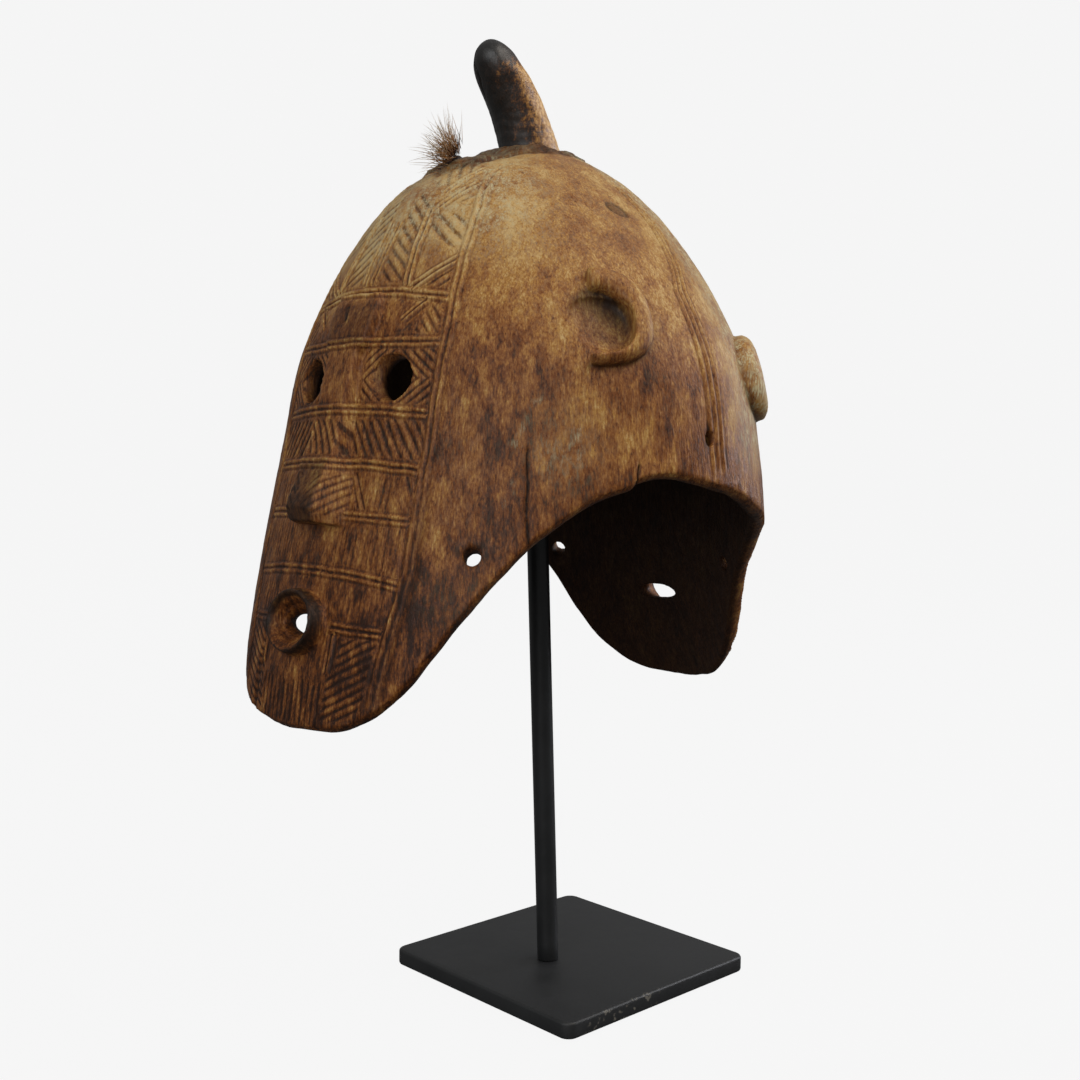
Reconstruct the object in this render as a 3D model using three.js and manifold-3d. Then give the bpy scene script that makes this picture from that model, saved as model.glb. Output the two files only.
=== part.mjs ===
// A carved wooden janus helmet mask on its display stand: one hollow dome with a face at the
// front (-Y) and a face at the back (+Y), a horn and a tuft of fur on the crown, and a steel
// rod on a square plate that holds it up. Millimetres, +Z up, z = 0 under the foot pads.
import * as THREE from 'three';
import { mergeVertices } from 'three/addons/utils/BufferGeometryUtils.js';
import Module from 'manifold-3d';

const wasm = await Module();
wasm.setup();

// Stand
const PLATE_SIDE = 152.4;
const PLATE_THICKNESS = 9.5;
const PLATE_CORNER = 7;
const PLATE_BEVEL = 1.6;
const PAD_RADIUS = 9;
const PAD_HEIGHT = 2;
const PAD_INSET = 17;
const GAP = 0.3;
const ROD_RADIUS = 6.35;
const ROD_LEAN = 0.0476; // forward travel per unit of height
const ROD_CLEAR = 2.2; // the flat rod end under the rounded crown

// Mask body, measured along depth below the crown
const AXIS_Y = 10.45; // the dome's axis in the part's frame
const CROWN_Z = 488;
const PLATE_Y = AXIS_Y + 42.9;
const DEPTHS = [20, 60, 112, 172, 231, 284, 330];
const HALF_WIDTH = [55, 99, 132, 146, 151, 151, 148];
const REACH_FRONT = [62, 97, 120, 133, 147, 158.5, 164];
const REACH_BACK = [55, 80, 102, 114, 120, 134, 152];
const WALL = 8.5;
const WALL_CROWN = 13;
// Lower rim: height at each angle round the axis, from the front face to the back face
const RIM_ANGLES = [0, 12, 24, 36, 50, 64, 78, 92, 106, 122, 138, 157, 168, 180];
const RIM_HEIGHTS = [180, 182, 200, 246, 279, 299, 306, 301, 290, 277, 254, 196, 181, 178];
const SEGMENTS = 40;
const ROWS_OUT = 12;
const ROWS_IN = 5;

// Face carving, the same on both faces; x is across the face, z is height
const BAND_ENDS = [393.5, 371, 335.5, 308, 283.5, 252.5, 229.5];
const BAND_BOW = [5, 1, 3, 3.5, 2, 5, 1.5]; // rise of each band from its ends to its middle
const BACK_BANDS = [0, 1, 1, 0, 1, 1, 1]; // the back face is carved more plainly
const BAND_PITCH = 4; // between the two raised lines of a band
const BORDER = [[186, 52], [212, 55], [235, 58], [262, 61], [340, 60], [378, 59], [395, 56],
  [415, 52], [438, 46], [464, 34]];
const BORDER_SPAN = [214, 464];
const LINE_WIDTH = 2.6;
const LINE_PROUD = 1.1;
const LINE_SINK = 0.6; // depth of the groove between two lines
const LINE_FOOT = 1.7; // the band's underside stays buried in the wall
const BAND_STEPS = 6;
const BORDER_STEPS = 8;
const EYE = { x: 34, z: 354, rx: 14.3, rz: 12.5, holeX: 10, holeZ: 11, shift: 2.2 };
const NOSE = [ // height, half-width at the foot, half-width on top, how far it stands proud
  [397, 19, 16, 3.5], [384, 20, 17, 5], [371, 19, 15, 5], [366, 14, 11, 4.5], [337, 15, 11, 6.5],
  [312, 18, 12, 9.5], [287, 22, 9, 14], [280, 21, 10, 11]];
const MOUTH = { z: 231, radius: 16, lip: 12.4, proud: 8.5, slotX: 12.5, slotZ: 5.5 };
const EAR = { angle: 62, span: 11.6, rise: 23.6, thick: 6, proud: 10, tipProud: 4 };
const EAR_HEIGHTS = { front: 380, back: 358 };
const SIDE_RIDGE = { angle: 90.5, offsets: [-4.4, 4.4], heights: [309, 462], steps: 5 };
const CORD_HOLES = [[38, 268, 4.2], [145, 257, 4.2]];
const SIDE_HOLE = { angle: 87, z: 325, ry: 2.8, rz: 4 };
const CRUST = { y: -8, rx: 29, ry: 60, rise: 1.4 };

// Horn: height above the seat, forward shift of the centre, radius
const HORN_SEAT_Z = 487;
const HORN = [[0, 0, 18], [10, -4.3, 17.3], [20, -9.1, 16.8], [30, -15.2, 16.4], [38, -21, 15.8],
  [45, -25.7, 14], [50.5, -27.8, 11.6], [55, -29.3, 7]];
const HORN_TIP = [57.6, -30];
const HORN_Y = AXIS_Y + 3.5;

// Fur tuft: distance along its axis, half-width across the mask, half-width along it
const TUFT = [[0, 3, 3], [4, 4.5, 6], [10, 6.5, 10], [16, 7, 13], [21, 5, 11], [24, 2, 5]];
const TUFT_ROOT = { y: AXIS_Y - 53.5, z: 476.6 };
const TUFT_TILT = 1;

const RAD = Math.PI / 180;

// Monotone cubic through the knots (Fritsch-Carlson)
function monotone(xs, ys) {
  const n = xs.length;
  const h = xs.slice(1).map((x, i) => x - xs[i]);
  const s = h.map((w, i) => (ys[i + 1] - ys[i]) / w);
  const m = ys.map((_, i) => {
    if (i === 0) return s[0];
    if (i === n - 1) return s[n - 2];
    if (s[i - 1] * s[i] <= 0) return 0;
    const a = 2 * h[i] + h[i - 1];
    const b = h[i] + 2 * h[i - 1];
    return (a + b) / (a / s[i - 1] + b / s[i]);
  });
  return (x) => {
    let i = 0;
    while (i < n - 2 && x > xs[i + 1]) i += 1;
    const t = (x - xs[i]) / h[i];
    if (t < 0) return ys[0];
    if (t > 1) return ys[n - 1];
    const u = 1 - t;
    return ys[i] * (1 + 2 * t) * u * u + ys[i + 1] * t * t * (3 - 2 * t)
      + h[i] * t * u * (m[i] * u - m[i + 1] * t);
  };
}

// A domed profile: r^2 / depth is interpolated, so the crown closes smoothly
function profile(radii) {
  const k = monotone([0, ...DEPTHS], [0, ...radii].map((r, i) => (
    i === 0 ? radii[0] ** 2 / DEPTHS[0] : r * r / DEPTHS[i - 1])));
  return (depth) => Math.sqrt(Math.max(k(depth) * depth, 0));
}

const halfWidth = profile(HALF_WIDTH);
const reachFront = profile(REACH_FRONT);
const reachBack = profile(REACH_BACK);
const rimKnots = monotone(RIM_ANGLES, RIM_HEIGHTS);
const rimHeight = (angle) => rimKnots(Math.abs(((angle + 540) % 360) - 180));

// Point of the outer surface at an angle (degrees, 0 = front, +90 = +X) and a height
function surface(angle, z) {
  const depth = CROWN_Z - z;
  const s = Math.sin(angle * RAD);
  const c = Math.cos(angle * RAD);
  const a = halfWidth(depth);
  const b = c > 0 ? reachFront(depth) : reachBack(depth);
  const r = 1 / Math.hypot(s / Math.max(a, 1e-6), c / Math.max(b, 1e-6));
  return new THREE.Vector3(r * s, AXIS_Y - r * c, z);
}

function surfaceNormal(angle, z) {
  const top = Math.min(z + 1, CROWN_Z - 0.4);
  const du = surface(angle + 0.5, z).sub(surface(angle - 0.5, z));
  const dz = surface(angle, top).sub(surface(angle, z - 1));
  return du.cross(dz).normalize();
}

// The surface at a given x across the front (side 1) or back (side -1) face
function facePoint(x, z, side, proud = 0) {
  const depth = CROWN_Z - z;
  const a = halfWidth(depth);
  const b = side > 0 ? reachFront(depth) : reachBack(depth);
  const y = b * Math.sqrt(Math.max(1 - (x / a) ** 2, 0));
  const angle = side > 0 ? Math.atan2(x, y) / RAD : 180 - Math.atan2(x, y) / RAD;
  const p = new THREE.Vector3(x, AXIS_Y - side * y, z);
  return p.addScaledVector(surfaceNormal(angle, z), proud);
}

function geometryOf(rings, closed, caps) {
  // rings: equal-length loops of points; quads between neighbours, fans over the ends
  const positions = rings.flat().flatMap((p) => [p.x, p.y, p.z]);
  const n = rings[0].length;
  const index = [];
  const last = closed ? rings.length : rings.length - 1;
  for (let j = 0; j < last; j += 1) {
    const k = (j + 1) % rings.length;
    for (let i = 0; i < n; i += 1) {
      const a = j * n + i;
      const b = j * n + ((i + 1) % n);
      const c = k * n + ((i + 1) % n);
      const d = k * n + i;
      index.push(a, b, c, a, c, d);
    }
  }
  if (caps) {
    [[0, -1], [rings.length - 1, 1]].forEach(([j, way]) => {
      const apex = caps[way < 0 ? 0 : 1];
      if (apex) {
        positions.push(apex.x, apex.y, apex.z);
        const m = positions.length / 3 - 1;
        for (let i = 0; i < n; i += 1) {
          const a = j * n + i;
          const b = j * n + ((i + 1) % n);
          if (way < 0) index.push(b, a, m);
          else index.push(a, b, m);
        }
      } else {
        for (let i = 1; i < n - 1; i += 1) {
          if (way < 0) index.push(j * n, j * n + i + 1, j * n + i);
          else index.push(j * n, j * n + i, j * n + i + 1);
        }
      }
    });
  }
  const geometry = new THREE.BufferGeometry();
  geometry.setAttribute('position', new THREE.Float32BufferAttribute(positions, 3));
  geometry.setIndex(index);
  return geometry;
}

function solid(source) {
  const bare = source.clone();
  bare.deleteAttribute('normal');
  bare.deleteAttribute('uv');
  const merged = mergeVertices(bare, 1e-4);
  const vertProperties = new Float32Array(merged.attributes.position.array);
  const triVerts = new Uint32Array(merged.index.array);
  const made = new wasm.Manifold(new wasm.Mesh({ numProp: 3, vertProperties, triVerts }));
  if (made.volume() > 0) return made;
  for (let i = 0; i < triVerts.length; i += 3) {
    [triVerts[i], triVerts[i + 1]] = [triVerts[i + 1], triVerts[i]];
  }
  return new wasm.Manifold(new wasm.Mesh({ numProp: 3, vertProperties, triVerts }));
}

function geometryFrom(made) {
  const { numProp, vertProperties, triVerts } = made.getMesh();
  const positions = [];
  for (let i = 0; i < vertProperties.length; i += numProp) {
    positions.push(vertProperties[i], vertProperties[i + 1], vertProperties[i + 2]);
  }
  const indexed = new THREE.BufferGeometry();
  indexed.setAttribute('position', new THREE.Float32BufferAttribute(positions, 3));
  indexed.setIndex(Array.from(triVerts));
  const flat = indexed.toNonIndexed();
  flat.computeVertexNormals();
  return flat;
}

const circle = (n, at) => Array.from({ length: n }, (_, i) => at((i / n) * Math.PI * 2));

// Hollow dome: outer rows from the crown to the rim, a rounded rim, inner rows back up
function shellGeometry() {
  const angles = Array.from({ length: SEGMENTS }, (_, i) => (i * 360) / SEGMENTS);
  const wallAt = (z) => WALL + (WALL_CROWN - WALL) * Math.exp(-(CROWN_Z - z) / 30);
  const row = (t, power) => angles.map((angle) => {
    const drop = CROWN_Z - rimHeight(angle);
    return [angle, CROWN_Z - drop * t ** power];
  });
  const rings = [];
  for (let j = 1; j <= ROWS_OUT; j += 1) {
    rings.push(row(j / ROWS_OUT, 1.7).map(([angle, z]) => surface(angle, z)));
  }
  rings.push(row(1, 1).map(([angle, z]) => (
    surface(angle, z).addScaledVector(surfaceNormal(angle, z), -0.45 * WALL).setZ(z - 2.6))));
  for (let j = ROWS_IN; j >= 1; j -= 1) {
    rings.push(row(j / ROWS_IN, 2).map(([angle, z]) => (
      surface(angle, z).addScaledVector(surfaceNormal(angle, z), -wallAt(z)))));
  }
  const top = new THREE.Vector3(0, AXIS_Y, CROWN_Z);
  return geometryOf(rings, false, [top, top.clone().setZ(CROWN_Z - WALL_CROWN)]);
}

// A band of raised lines along a path on the surface, with grooves between the lines
function lineGeometry(points, offsets, proud = LINE_PROUD) {
  const section = offsets.flatMap((v, k) => (
    k === 0 ? [[v, proud]] : [[(v + offsets[k - 1]) / 2, -LINE_SINK], [v, proud]]));
  const reach = LINE_WIDTH / 2;
  section.unshift([offsets[0] - reach, -LINE_FOOT]);
  section.push([offsets[offsets.length - 1] + reach, -LINE_FOOT]);
  const rings = points.map(({ at, normal }, i) => {
    const before = points[Math.max(i - 1, 0)].at;
    const after = points[Math.min(i + 1, points.length - 1)].at;
    const across = normal.clone().cross(after.clone().sub(before)).normalize();
    return section.map(([v, out]) => at.clone().addScaledVector(across, v)
      .addScaledVector(normal, out));
  });
  return geometryOf(rings, false, [null, null]);
}

function onFace(x, z, side) {
  const at = facePoint(x, z, side);
  const normal = facePoint(x, z, side, 1).sub(at);
  return { at, normal };
}

const borderX = monotone(BORDER.map((p) => p[0]), BORDER.map((p) => p[1]));

function bandLines(side) {
  const kept = BAND_ENDS.map((z, k) => [z, k]).filter(([, k]) => side > 0 || BACK_BANDS[k]);
  return kept.map(([z, k]) => {
    const edge = borderX(z);
    const points = Array.from({ length: BAND_STEPS + 1 }, (_, i) => {
      const x = -edge + (2 * edge * i) / BAND_STEPS;
      const bow = BAND_BOW[k] * (1 - (x / edge) ** 2);
      return onFace(x, z + bow, side);
    });
    return lineGeometry(points, [-BAND_PITCH / 2, BAND_PITCH / 2]);
  });
}

function borderLines(side) {
  const [low, high] = BORDER_SPAN;
  return [-1, 1].map((hand) => (
    lineGeometry(Array.from({ length: BORDER_STEPS + 1 }, (_, i) => {
      const z = high - (high - low) * (i / BORDER_STEPS) ** 1.6;
      return onFace(hand * (borderX(z) + BAND_PITCH / 2), z, side);
    }), [-BAND_PITCH / 2, BAND_PITCH / 2])));
}

function sideRidge(hand) {
  const [low, high] = SIDE_RIDGE.heights;
  return lineGeometry(Array.from({ length: SIDE_RIDGE.steps + 1 }, (_, i) => {
    const z = high - (high - low) * (i / SIDE_RIDGE.steps) ** 1.5;
    const turn = hand * SIDE_RIDGE.angle;
    return { at: surface(turn, z), normal: surfaceNormal(turn, z) };
  }), SIDE_RIDGE.offsets);
}

// Forehead block and nose in one tapering form
function noseGeometry(side) {
  const rings = NOSE.map(([z, foot, top, proud]) => [
    facePoint(-foot, z, side, -2.5), facePoint(-top, z, side, proud),
    facePoint(0, z, side, proud + 0.6),
    facePoint(top, z, side, proud), facePoint(foot, z, side, -2.5)]);
  return geometryOf(rings, false, [null, null]);
}

// Axis system of a face feature: outward normal n, sideways u, upward v
function faceFrame(x, z, side) {
  const { at, normal } = onFace(x, z, side);
  const u = new THREE.Vector3(0, 0, 1).cross(normal).normalize();
  const v = normal.clone().cross(u);
  return (du, dv, dn) => at.clone().addScaledVector(u, du).addScaledVector(v, dv)
    .addScaledVector(normal, dn);
}

function ovalTube(place, n, stations) {
  // stations: [half-width, half-height, distance along the normal, sideways shift]
  return geometryOf(stations.map(([ru, rv, dn, shift = 0]) => (
    circle(n, (t) => place(shift + ru * Math.cos(t), rv * Math.sin(t), dn)))), false, [null, null]);
}

function mouthRing(side) {
  const { radius, proud } = MOUTH;
  return ovalTube(faceFrame(0, MOUTH.z, side), 16, [
    [radius + 1.5, radius + 1.5, -3], [radius, radius, proud * 0.6],
    [radius - 1.2, radius - 1.2, proud]]);
}

function mouthHole(side) {
  const { lip, slotX, slotZ, proud } = MOUTH;
  return ovalTube(faceFrame(0, MOUTH.z, side), 12, [
    [lip + 0.8, lip + 0.8, proud + 1], [lip, lip, proud - 0.6], [slotX, slotZ, -3],
    [slotX + 1, slotZ + 1, -WALL - 4]].reverse());
}

function eyeHole(hand, side) {
  const { x, z, rx, rz, holeX, holeZ } = EYE;
  const shift = EYE.shift * hand * side;
  return ovalTube(faceFrame(hand * x, z, side), 12, [
    [rx + 1.5, rz + 1.5, 1.5], [rx, rz, 0], [holeX, holeZ, -5, shift],
    [holeX, holeZ, -WALL - 5, shift]].reverse());
}

// Ear: a raised half-ring, open toward its own face
function earGeometry(hand, side) {
  const { angle, span, rise, thick, proud, tipProud } = EAR;
  const zc = side > 0 ? EAR_HEIGHTS.front : EAR_HEIGHTS.back;
  const count = 8;
  const place = (turn, z, out) => {
    const real = hand * (side > 0 ? turn : 180 - turn);
    return surface(real, z).addScaledVector(surfaceNormal(real, z), out);
  };
  const rings = Array.from({ length: count + 1 }, (_, i) => {
    const t = (-98 + (196 * i) / count) * RAD;
    const height = tipProud + (proud - tipProud) * Math.cos(t * 0.85) ** 2;
    const shrink = (rise - thick) / rise;
    const at = (scale, out) => place(
      angle + span * scale * Math.cos(t), zc + rise * scale * Math.sin(t), out);
    return [at(1.05, -4), at(0.99, height), at(shrink + 0.04, height), at(shrink, -4)];
  });
  return geometryOf(rings, false, [null, null]);
}

function roundHole(angle, z, ru, rv) {
  const n = surfaceNormal(angle, z);
  const at = surface(angle, z);
  const u = new THREE.Vector3(0, 0, 1).cross(n).normalize();
  const v = n.clone().cross(u);
  return geometryOf([-WALL - 5, 4].map((dn) => circle(8, (t) => (
    at.clone().addScaledVector(n, dn).addScaledVector(u, ru * Math.cos(t))
      .addScaledVector(v, rv * Math.sin(t))))), false, [null, null]);
}

// Low mound of resin and hide over the crown, with a round seat for the horn
function crustGeometry() {
  const { y, rx, ry, rise } = CRUST;
  const levels = [[1, -2.5], [0.86, 1.2], [0.62, 1], [0.36, 1]];
  const rings = levels.map(([s, lift], j) => circle(18, (t) => {
    const px = rx * s * Math.cos(t);
    const py = y + ry * s * Math.sin(t);
    const angle = Math.atan2(px, -py) / RAD;
    const wave = 1 + 0.07 * Math.sin(5 * t + 1) + 0.05 * Math.sin(9 * t + 2.4);
    const reach = Math.hypot(px, py) * (j < 2 ? wave : 1);
    let [lo, hi] = [300, CROWN_Z];
    for (let k = 0; k < 40; k += 1) {
      const mid = (lo + hi) / 2;
      const p = surface(angle, mid);
      if (Math.hypot(p.x, p.y - AXIS_Y) > reach) lo = mid;
      else hi = mid;
    }
    const out = j === 0 ? lift : rise * lift;
    return new THREE.Vector3(reach * Math.sin(angle * RAD), AXIS_Y - reach * Math.cos(angle * RAD),
      lo + out);
  }));
  return geometryOf(rings, false,
    [new THREE.Vector3(0, AXIS_Y + y, CROWN_Z - 9), new THREE.Vector3(0, AXIS_Y + y, CROWN_Z + 1.2)]);
}

function hornSeat() {
  return geometryOf([HORN_SEAT_Z - GAP, HORN_SEAT_Z + 8].map((z, j) => (
    circle(16, (t) => new THREE.Vector3((HORN[0][2] + GAP) * Math.cos(t),
      HORN_Y - 3.4 * j + (HORN[0][2] + GAP) * Math.sin(t), z)))), false, [null, null]);
}

function maskGeometry() {
  let mask = solid(shellGeometry());
  const join = (geometry) => { mask = mask.add(solid(geometry)); };
  const cut = (geometry) => { mask = mask.subtract(solid(geometry)); };
  join(crustGeometry());
  [1, -1].forEach((side) => {
    [...bandLines(side), ...borderLines(side)].forEach(join);
    join(noseGeometry(side));
    join(mouthRing(side));
    [1, -1].forEach((hand) => join(earGeometry(hand, side)));
  });
  [1, -1].forEach((hand) => join(sideRidge(hand)));
  [1, -1].forEach((side) => {
    cut(mouthHole(side));
    [1, -1].forEach((hand) => cut(eyeHole(hand, side)));
  });
  CORD_HOLES.forEach(([angle, z, r]) => [1, -1].forEach((hand) => {
    cut(roundHole(hand * angle, z, r, r));
  }));
  cut(roundHole(SIDE_HOLE.angle, SIDE_HOLE.z, SIDE_HOLE.ry, SIDE_HOLE.rz));
  cut(roundHole(-SIDE_HOLE.angle, SIDE_HOLE.z, SIDE_HOLE.ry, SIDE_HOLE.rz));
  cut(hornSeat());
  return geometryFrom(mask);
}

function hornGeometry() {
  const rings = HORN.map(([z, shift, r]) => circle(16, (t) => (
    new THREE.Vector3(r * 0.97 * Math.cos(t), HORN_Y + shift + r * Math.sin(t),
      HORN_SEAT_Z + z))));
  return geometryOf(rings, false,
    [null, new THREE.Vector3(0, HORN_Y + HORN_TIP[1], HORN_SEAT_Z + HORN_TIP[0])]);
}

function tuftGeometry() {
  const axis = new THREE.Vector3(0, -Math.sin(TUFT_TILT), Math.cos(TUFT_TILT));
  const along = new THREE.Vector3(0, Math.cos(TUFT_TILT), Math.sin(TUFT_TILT));
  const root = new THREE.Vector3(0, TUFT_ROOT.y, TUFT_ROOT.z);
  const rings = TUFT.map(([d, rx, ry]) => circle(10, (t) => (
    root.clone().addScaledVector(axis, d).addScaledVector(along, ry * Math.sin(t))
      .add(new THREE.Vector3(rx * Math.cos(t), 0, 0)))));
  return geometryOf(rings, false, [null, null]);
}

function rodGeometry() {
  const foot = PAD_HEIGHT + GAP + PLATE_THICKNESS + GAP;
  const top = CROWN_Z - WALL_CROWN - GAP - ROD_CLEAR;
  const yAt = (z) => PLATE_Y - 18.4 - ROD_LEAN * (z - foot);
  return geometryOf([foot, top].map((z) => circle(18, (t) => (
    new THREE.Vector3(ROD_RADIUS * Math.cos(t), yAt(z) + ROD_RADIUS * Math.sin(t), z)))), false,
  [null, null]);
}

function plateGeometry() {
  const half = PLATE_SIDE / 2;
  const outline = new THREE.Shape();
  const r = PLATE_CORNER - PLATE_BEVEL;
  const h = half - PLATE_BEVEL;
  outline.moveTo(-h + r, -h);
  outline.lineTo(h - r, -h);
  outline.absarc(h - r, -h + r, r, -Math.PI / 2, 0);
  outline.lineTo(h, h - r);
  outline.absarc(h - r, h - r, r, 0, Math.PI / 2);
  outline.lineTo(-h + r, h);
  outline.absarc(-h + r, h - r, r, Math.PI / 2, Math.PI);
  outline.lineTo(-h, -h + r);
  outline.absarc(-h + r, -h + r, r, Math.PI, 1.5 * Math.PI);
  const plate = new THREE.ExtrudeGeometry(outline, {
    depth: PLATE_THICKNESS - 2 * PLATE_BEVEL, curveSegments: 3, bevelEnabled: true,
    bevelThickness: PLATE_BEVEL, bevelSize: PLATE_BEVEL, bevelSegments: 1,
  });
  plate.translate(0, PLATE_Y, PAD_HEIGHT + GAP + PLATE_BEVEL);
  return plate;
}

function mesh(name, geometry, color, roughness, metalness = 0) {
  if (!geometry.attributes.normal) geometry.computeVertexNormals();
  const made = new THREE.Mesh(geometry,
    new THREE.MeshStandardMaterial({ color, roughness, metalness, flatShading: true }));
  made.name = name;
  return made;
}

const object = new THREE.Group();
object.name = 'janus_helmet_mask';
object.add(mesh('mask', maskGeometry(), 0x7a4f28, 0.5));
object.add(mesh('horn', hornGeometry(), 0x3a2818, 0.35));
object.add(mesh('fur_tuft', tuftGeometry(), 0x7d6a55, 0.95));
object.add(mesh('stand_rod', rodGeometry(), 0x1a1c20, 0.4, 0.5));
object.add(mesh('stand_plate', plateGeometry(), 0x2a2a2a, 0.5, 0.4));
const padPlace = PLATE_SIDE / 2 - PAD_INSET;
[['front_left', -1, -1], ['front_right', 1, -1], ['back_left', -1, 1], ['back_right', 1, 1]]
  .forEach(([name, sx, sy]) => {
    const pad = new THREE.CylinderGeometry(PAD_RADIUS, PAD_RADIUS, PAD_HEIGHT, 16);
    pad.rotateX(Math.PI / 2);
    const made = mesh(`foot_pad_${name}`, pad, 0xa9805a, 0.9);
    made.position.set(sx * padPlace, PLATE_Y + sy * padPlace, PAD_HEIGHT / 2);
    object.add(made);
  });

export default object;
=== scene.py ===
"""Dresses the janus helmet mask on its stand: carved mask, horn, hair tuft, rod, plate, pads."""

import logging
import math
from dataclasses import dataclass
from enum import Enum
from functools import partial
from typing import Callable, Iterable, Optional, Sequence, Union

import bmesh
import bpy
import numpy as np
from mathutils import Matrix, Vector

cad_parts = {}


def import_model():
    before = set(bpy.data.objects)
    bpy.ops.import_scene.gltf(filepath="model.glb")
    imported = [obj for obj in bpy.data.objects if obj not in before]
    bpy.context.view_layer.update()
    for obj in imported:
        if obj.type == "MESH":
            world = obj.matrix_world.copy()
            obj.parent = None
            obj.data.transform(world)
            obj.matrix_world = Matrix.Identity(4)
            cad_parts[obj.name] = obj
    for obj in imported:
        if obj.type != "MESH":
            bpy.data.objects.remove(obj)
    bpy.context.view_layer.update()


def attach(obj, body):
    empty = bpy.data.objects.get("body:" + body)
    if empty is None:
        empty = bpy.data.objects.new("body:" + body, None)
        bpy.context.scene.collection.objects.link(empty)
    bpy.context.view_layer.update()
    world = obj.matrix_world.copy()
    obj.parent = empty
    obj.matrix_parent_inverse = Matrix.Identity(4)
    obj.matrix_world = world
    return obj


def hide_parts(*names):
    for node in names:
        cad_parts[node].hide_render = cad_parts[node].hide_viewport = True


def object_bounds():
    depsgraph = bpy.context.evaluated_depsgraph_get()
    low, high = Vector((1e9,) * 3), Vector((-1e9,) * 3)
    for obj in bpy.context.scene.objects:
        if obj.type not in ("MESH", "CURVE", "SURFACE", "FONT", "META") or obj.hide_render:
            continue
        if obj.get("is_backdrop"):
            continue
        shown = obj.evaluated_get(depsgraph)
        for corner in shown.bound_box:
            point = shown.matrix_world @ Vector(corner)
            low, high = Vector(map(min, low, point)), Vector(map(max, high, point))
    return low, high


MM = 0.001
LOG = logging.getLogger("mask")

AXIS_Y = 10.45  # the dome's axis in the part's frame, mm
CROWN_Z = 488.0
PLATE_Y = AXIS_Y + 42.9

Place = Callable[[np.ndarray, np.ndarray], np.ndarray]


def smoothstep(low: float, high: float, value: np.ndarray) -> np.ndarray:
    """Smooth 0 to 1 as value goes from low to high.

    Args:
        low: value where the result is 0.
        high: value where the result is 1, above or below low.
        value: the values to map.

    Returns:
        The mapped values.
    """
    t = np.clip((np.asarray(value, float) - low) / (high - low), 0.0, 1.0)
    return t * t * (3.0 - 2.0 * t)


def bump(distance: np.ndarray, width: float) -> np.ndarray:
    """Rounded bump, 1 at distance 0 and faded out by about two widths."""
    return np.exp(-((distance / width) ** 2))


def signed_power(value: np.ndarray, power: float) -> np.ndarray:
    """Value to a power, keeping its own sign."""
    return np.sign(value) * np.abs(value) ** power


class Noise:
    """Seeded smooth noise in three dimensions, from -1 to 1."""

    def __init__(self, seed: int) -> None:
        """Draws the lattice values from a seed."""
        self.table = np.random.default_rng(seed).uniform(-1.0, 1.0, 8192)

    def _lattice(self, cell: np.ndarray) -> np.ndarray:
        """Value of the lattice at whole-number cells (N, 3)."""
        mixed = (cell[:, 0] * 73856093) ^ (cell[:, 1] * 19349663) ^ (cell[:, 2] * 83492791)
        return self.table[mixed & 8191]

    def at(self, points: np.ndarray, size: Union[float, Sequence[float]]) -> np.ndarray:
        """Noise at points.

        Args:
            points: positions (N, 3) in mm.
            size: feature size in mm, one number or one for each axis.

        Returns:
            Noise values (N,).
        """
        scaled = points / np.asarray(size, float)
        cell = np.floor(scaled).astype(np.int64)
        t = scaled - cell
        t = t * t * (3.0 - 2.0 * t)
        total = np.zeros(len(points))
        for corner in range(8):
            step = np.array([corner & 1, corner >> 1 & 1, corner >> 2 & 1])
            weight = np.prod(np.where(step, t, 1.0 - t), axis=1)
            total += weight * self._lattice(cell + step)
        return total

    def layered(self, points: np.ndarray, size: Union[float, Sequence[float]],
                octaves: int = 3) -> np.ndarray:
        """Sum of octaves of noise, each half the size and half the strength.

        Args:
            points: positions (N, 3) in mm.
            size: feature size of the first octave in mm, one number or one for each axis.
            octaves: how many.

        Returns:
            Noise values (N,).
        """
        total = np.zeros(len(points))
        for k in range(octaves):
            total += self.at(points + 31.7 * k, np.asarray(size, float) / 2**k) / 2**k
        return total


class Monotone:
    """Monotone cubic curve through knots."""

    def __init__(self, knots: Iterable[Sequence[float]]) -> None:
        """Works out the slopes at (x, y) knots with rising x.

        Args:
            knots: the (x, y) pairs.
        """
        pairs = np.array(list(knots), float)
        self.x, self.y = pairs[:, 0], pairs[:, 1]
        self.h = np.diff(self.x)
        d = np.diff(self.y) / self.h
        self.m = np.zeros(len(self.x))
        self.m[0], self.m[-1] = d[0], d[-1]
        for i in range(1, len(self.x) - 1):
            if d[i - 1] * d[i] > 0:
                a = 2 * self.h[i] + self.h[i - 1]
                b = self.h[i] + 2 * self.h[i - 1]
                self.m[i] = (a + b) / (a / d[i - 1] + b / d[i])

    def __call__(self, x: np.ndarray) -> np.ndarray:
        """Value of the curve, held level beyond its ends.

        Args:
            x: where to read it.

        Returns:
            Its values there.
        """
        x = np.clip(np.asarray(x, float), self.x[0], self.x[-1])
        i = np.clip(np.searchsorted(self.x, x, side="right") - 1, 0, len(self.x) - 2)
        h = self.h[i]
        t = (x - self.x[i]) / h
        u = 1 - t
        return (
            self.y[i] * (1 + 2 * t) * u * u
            + self.y[i + 1] * t * t * (3 - 2 * t)
            + h * t * u * (self.m[i] * u - self.m[i + 1] * t)
        )


class Side(Enum):
    """The two faces of the mask."""

    FRONT = 1
    BACK = -1


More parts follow.
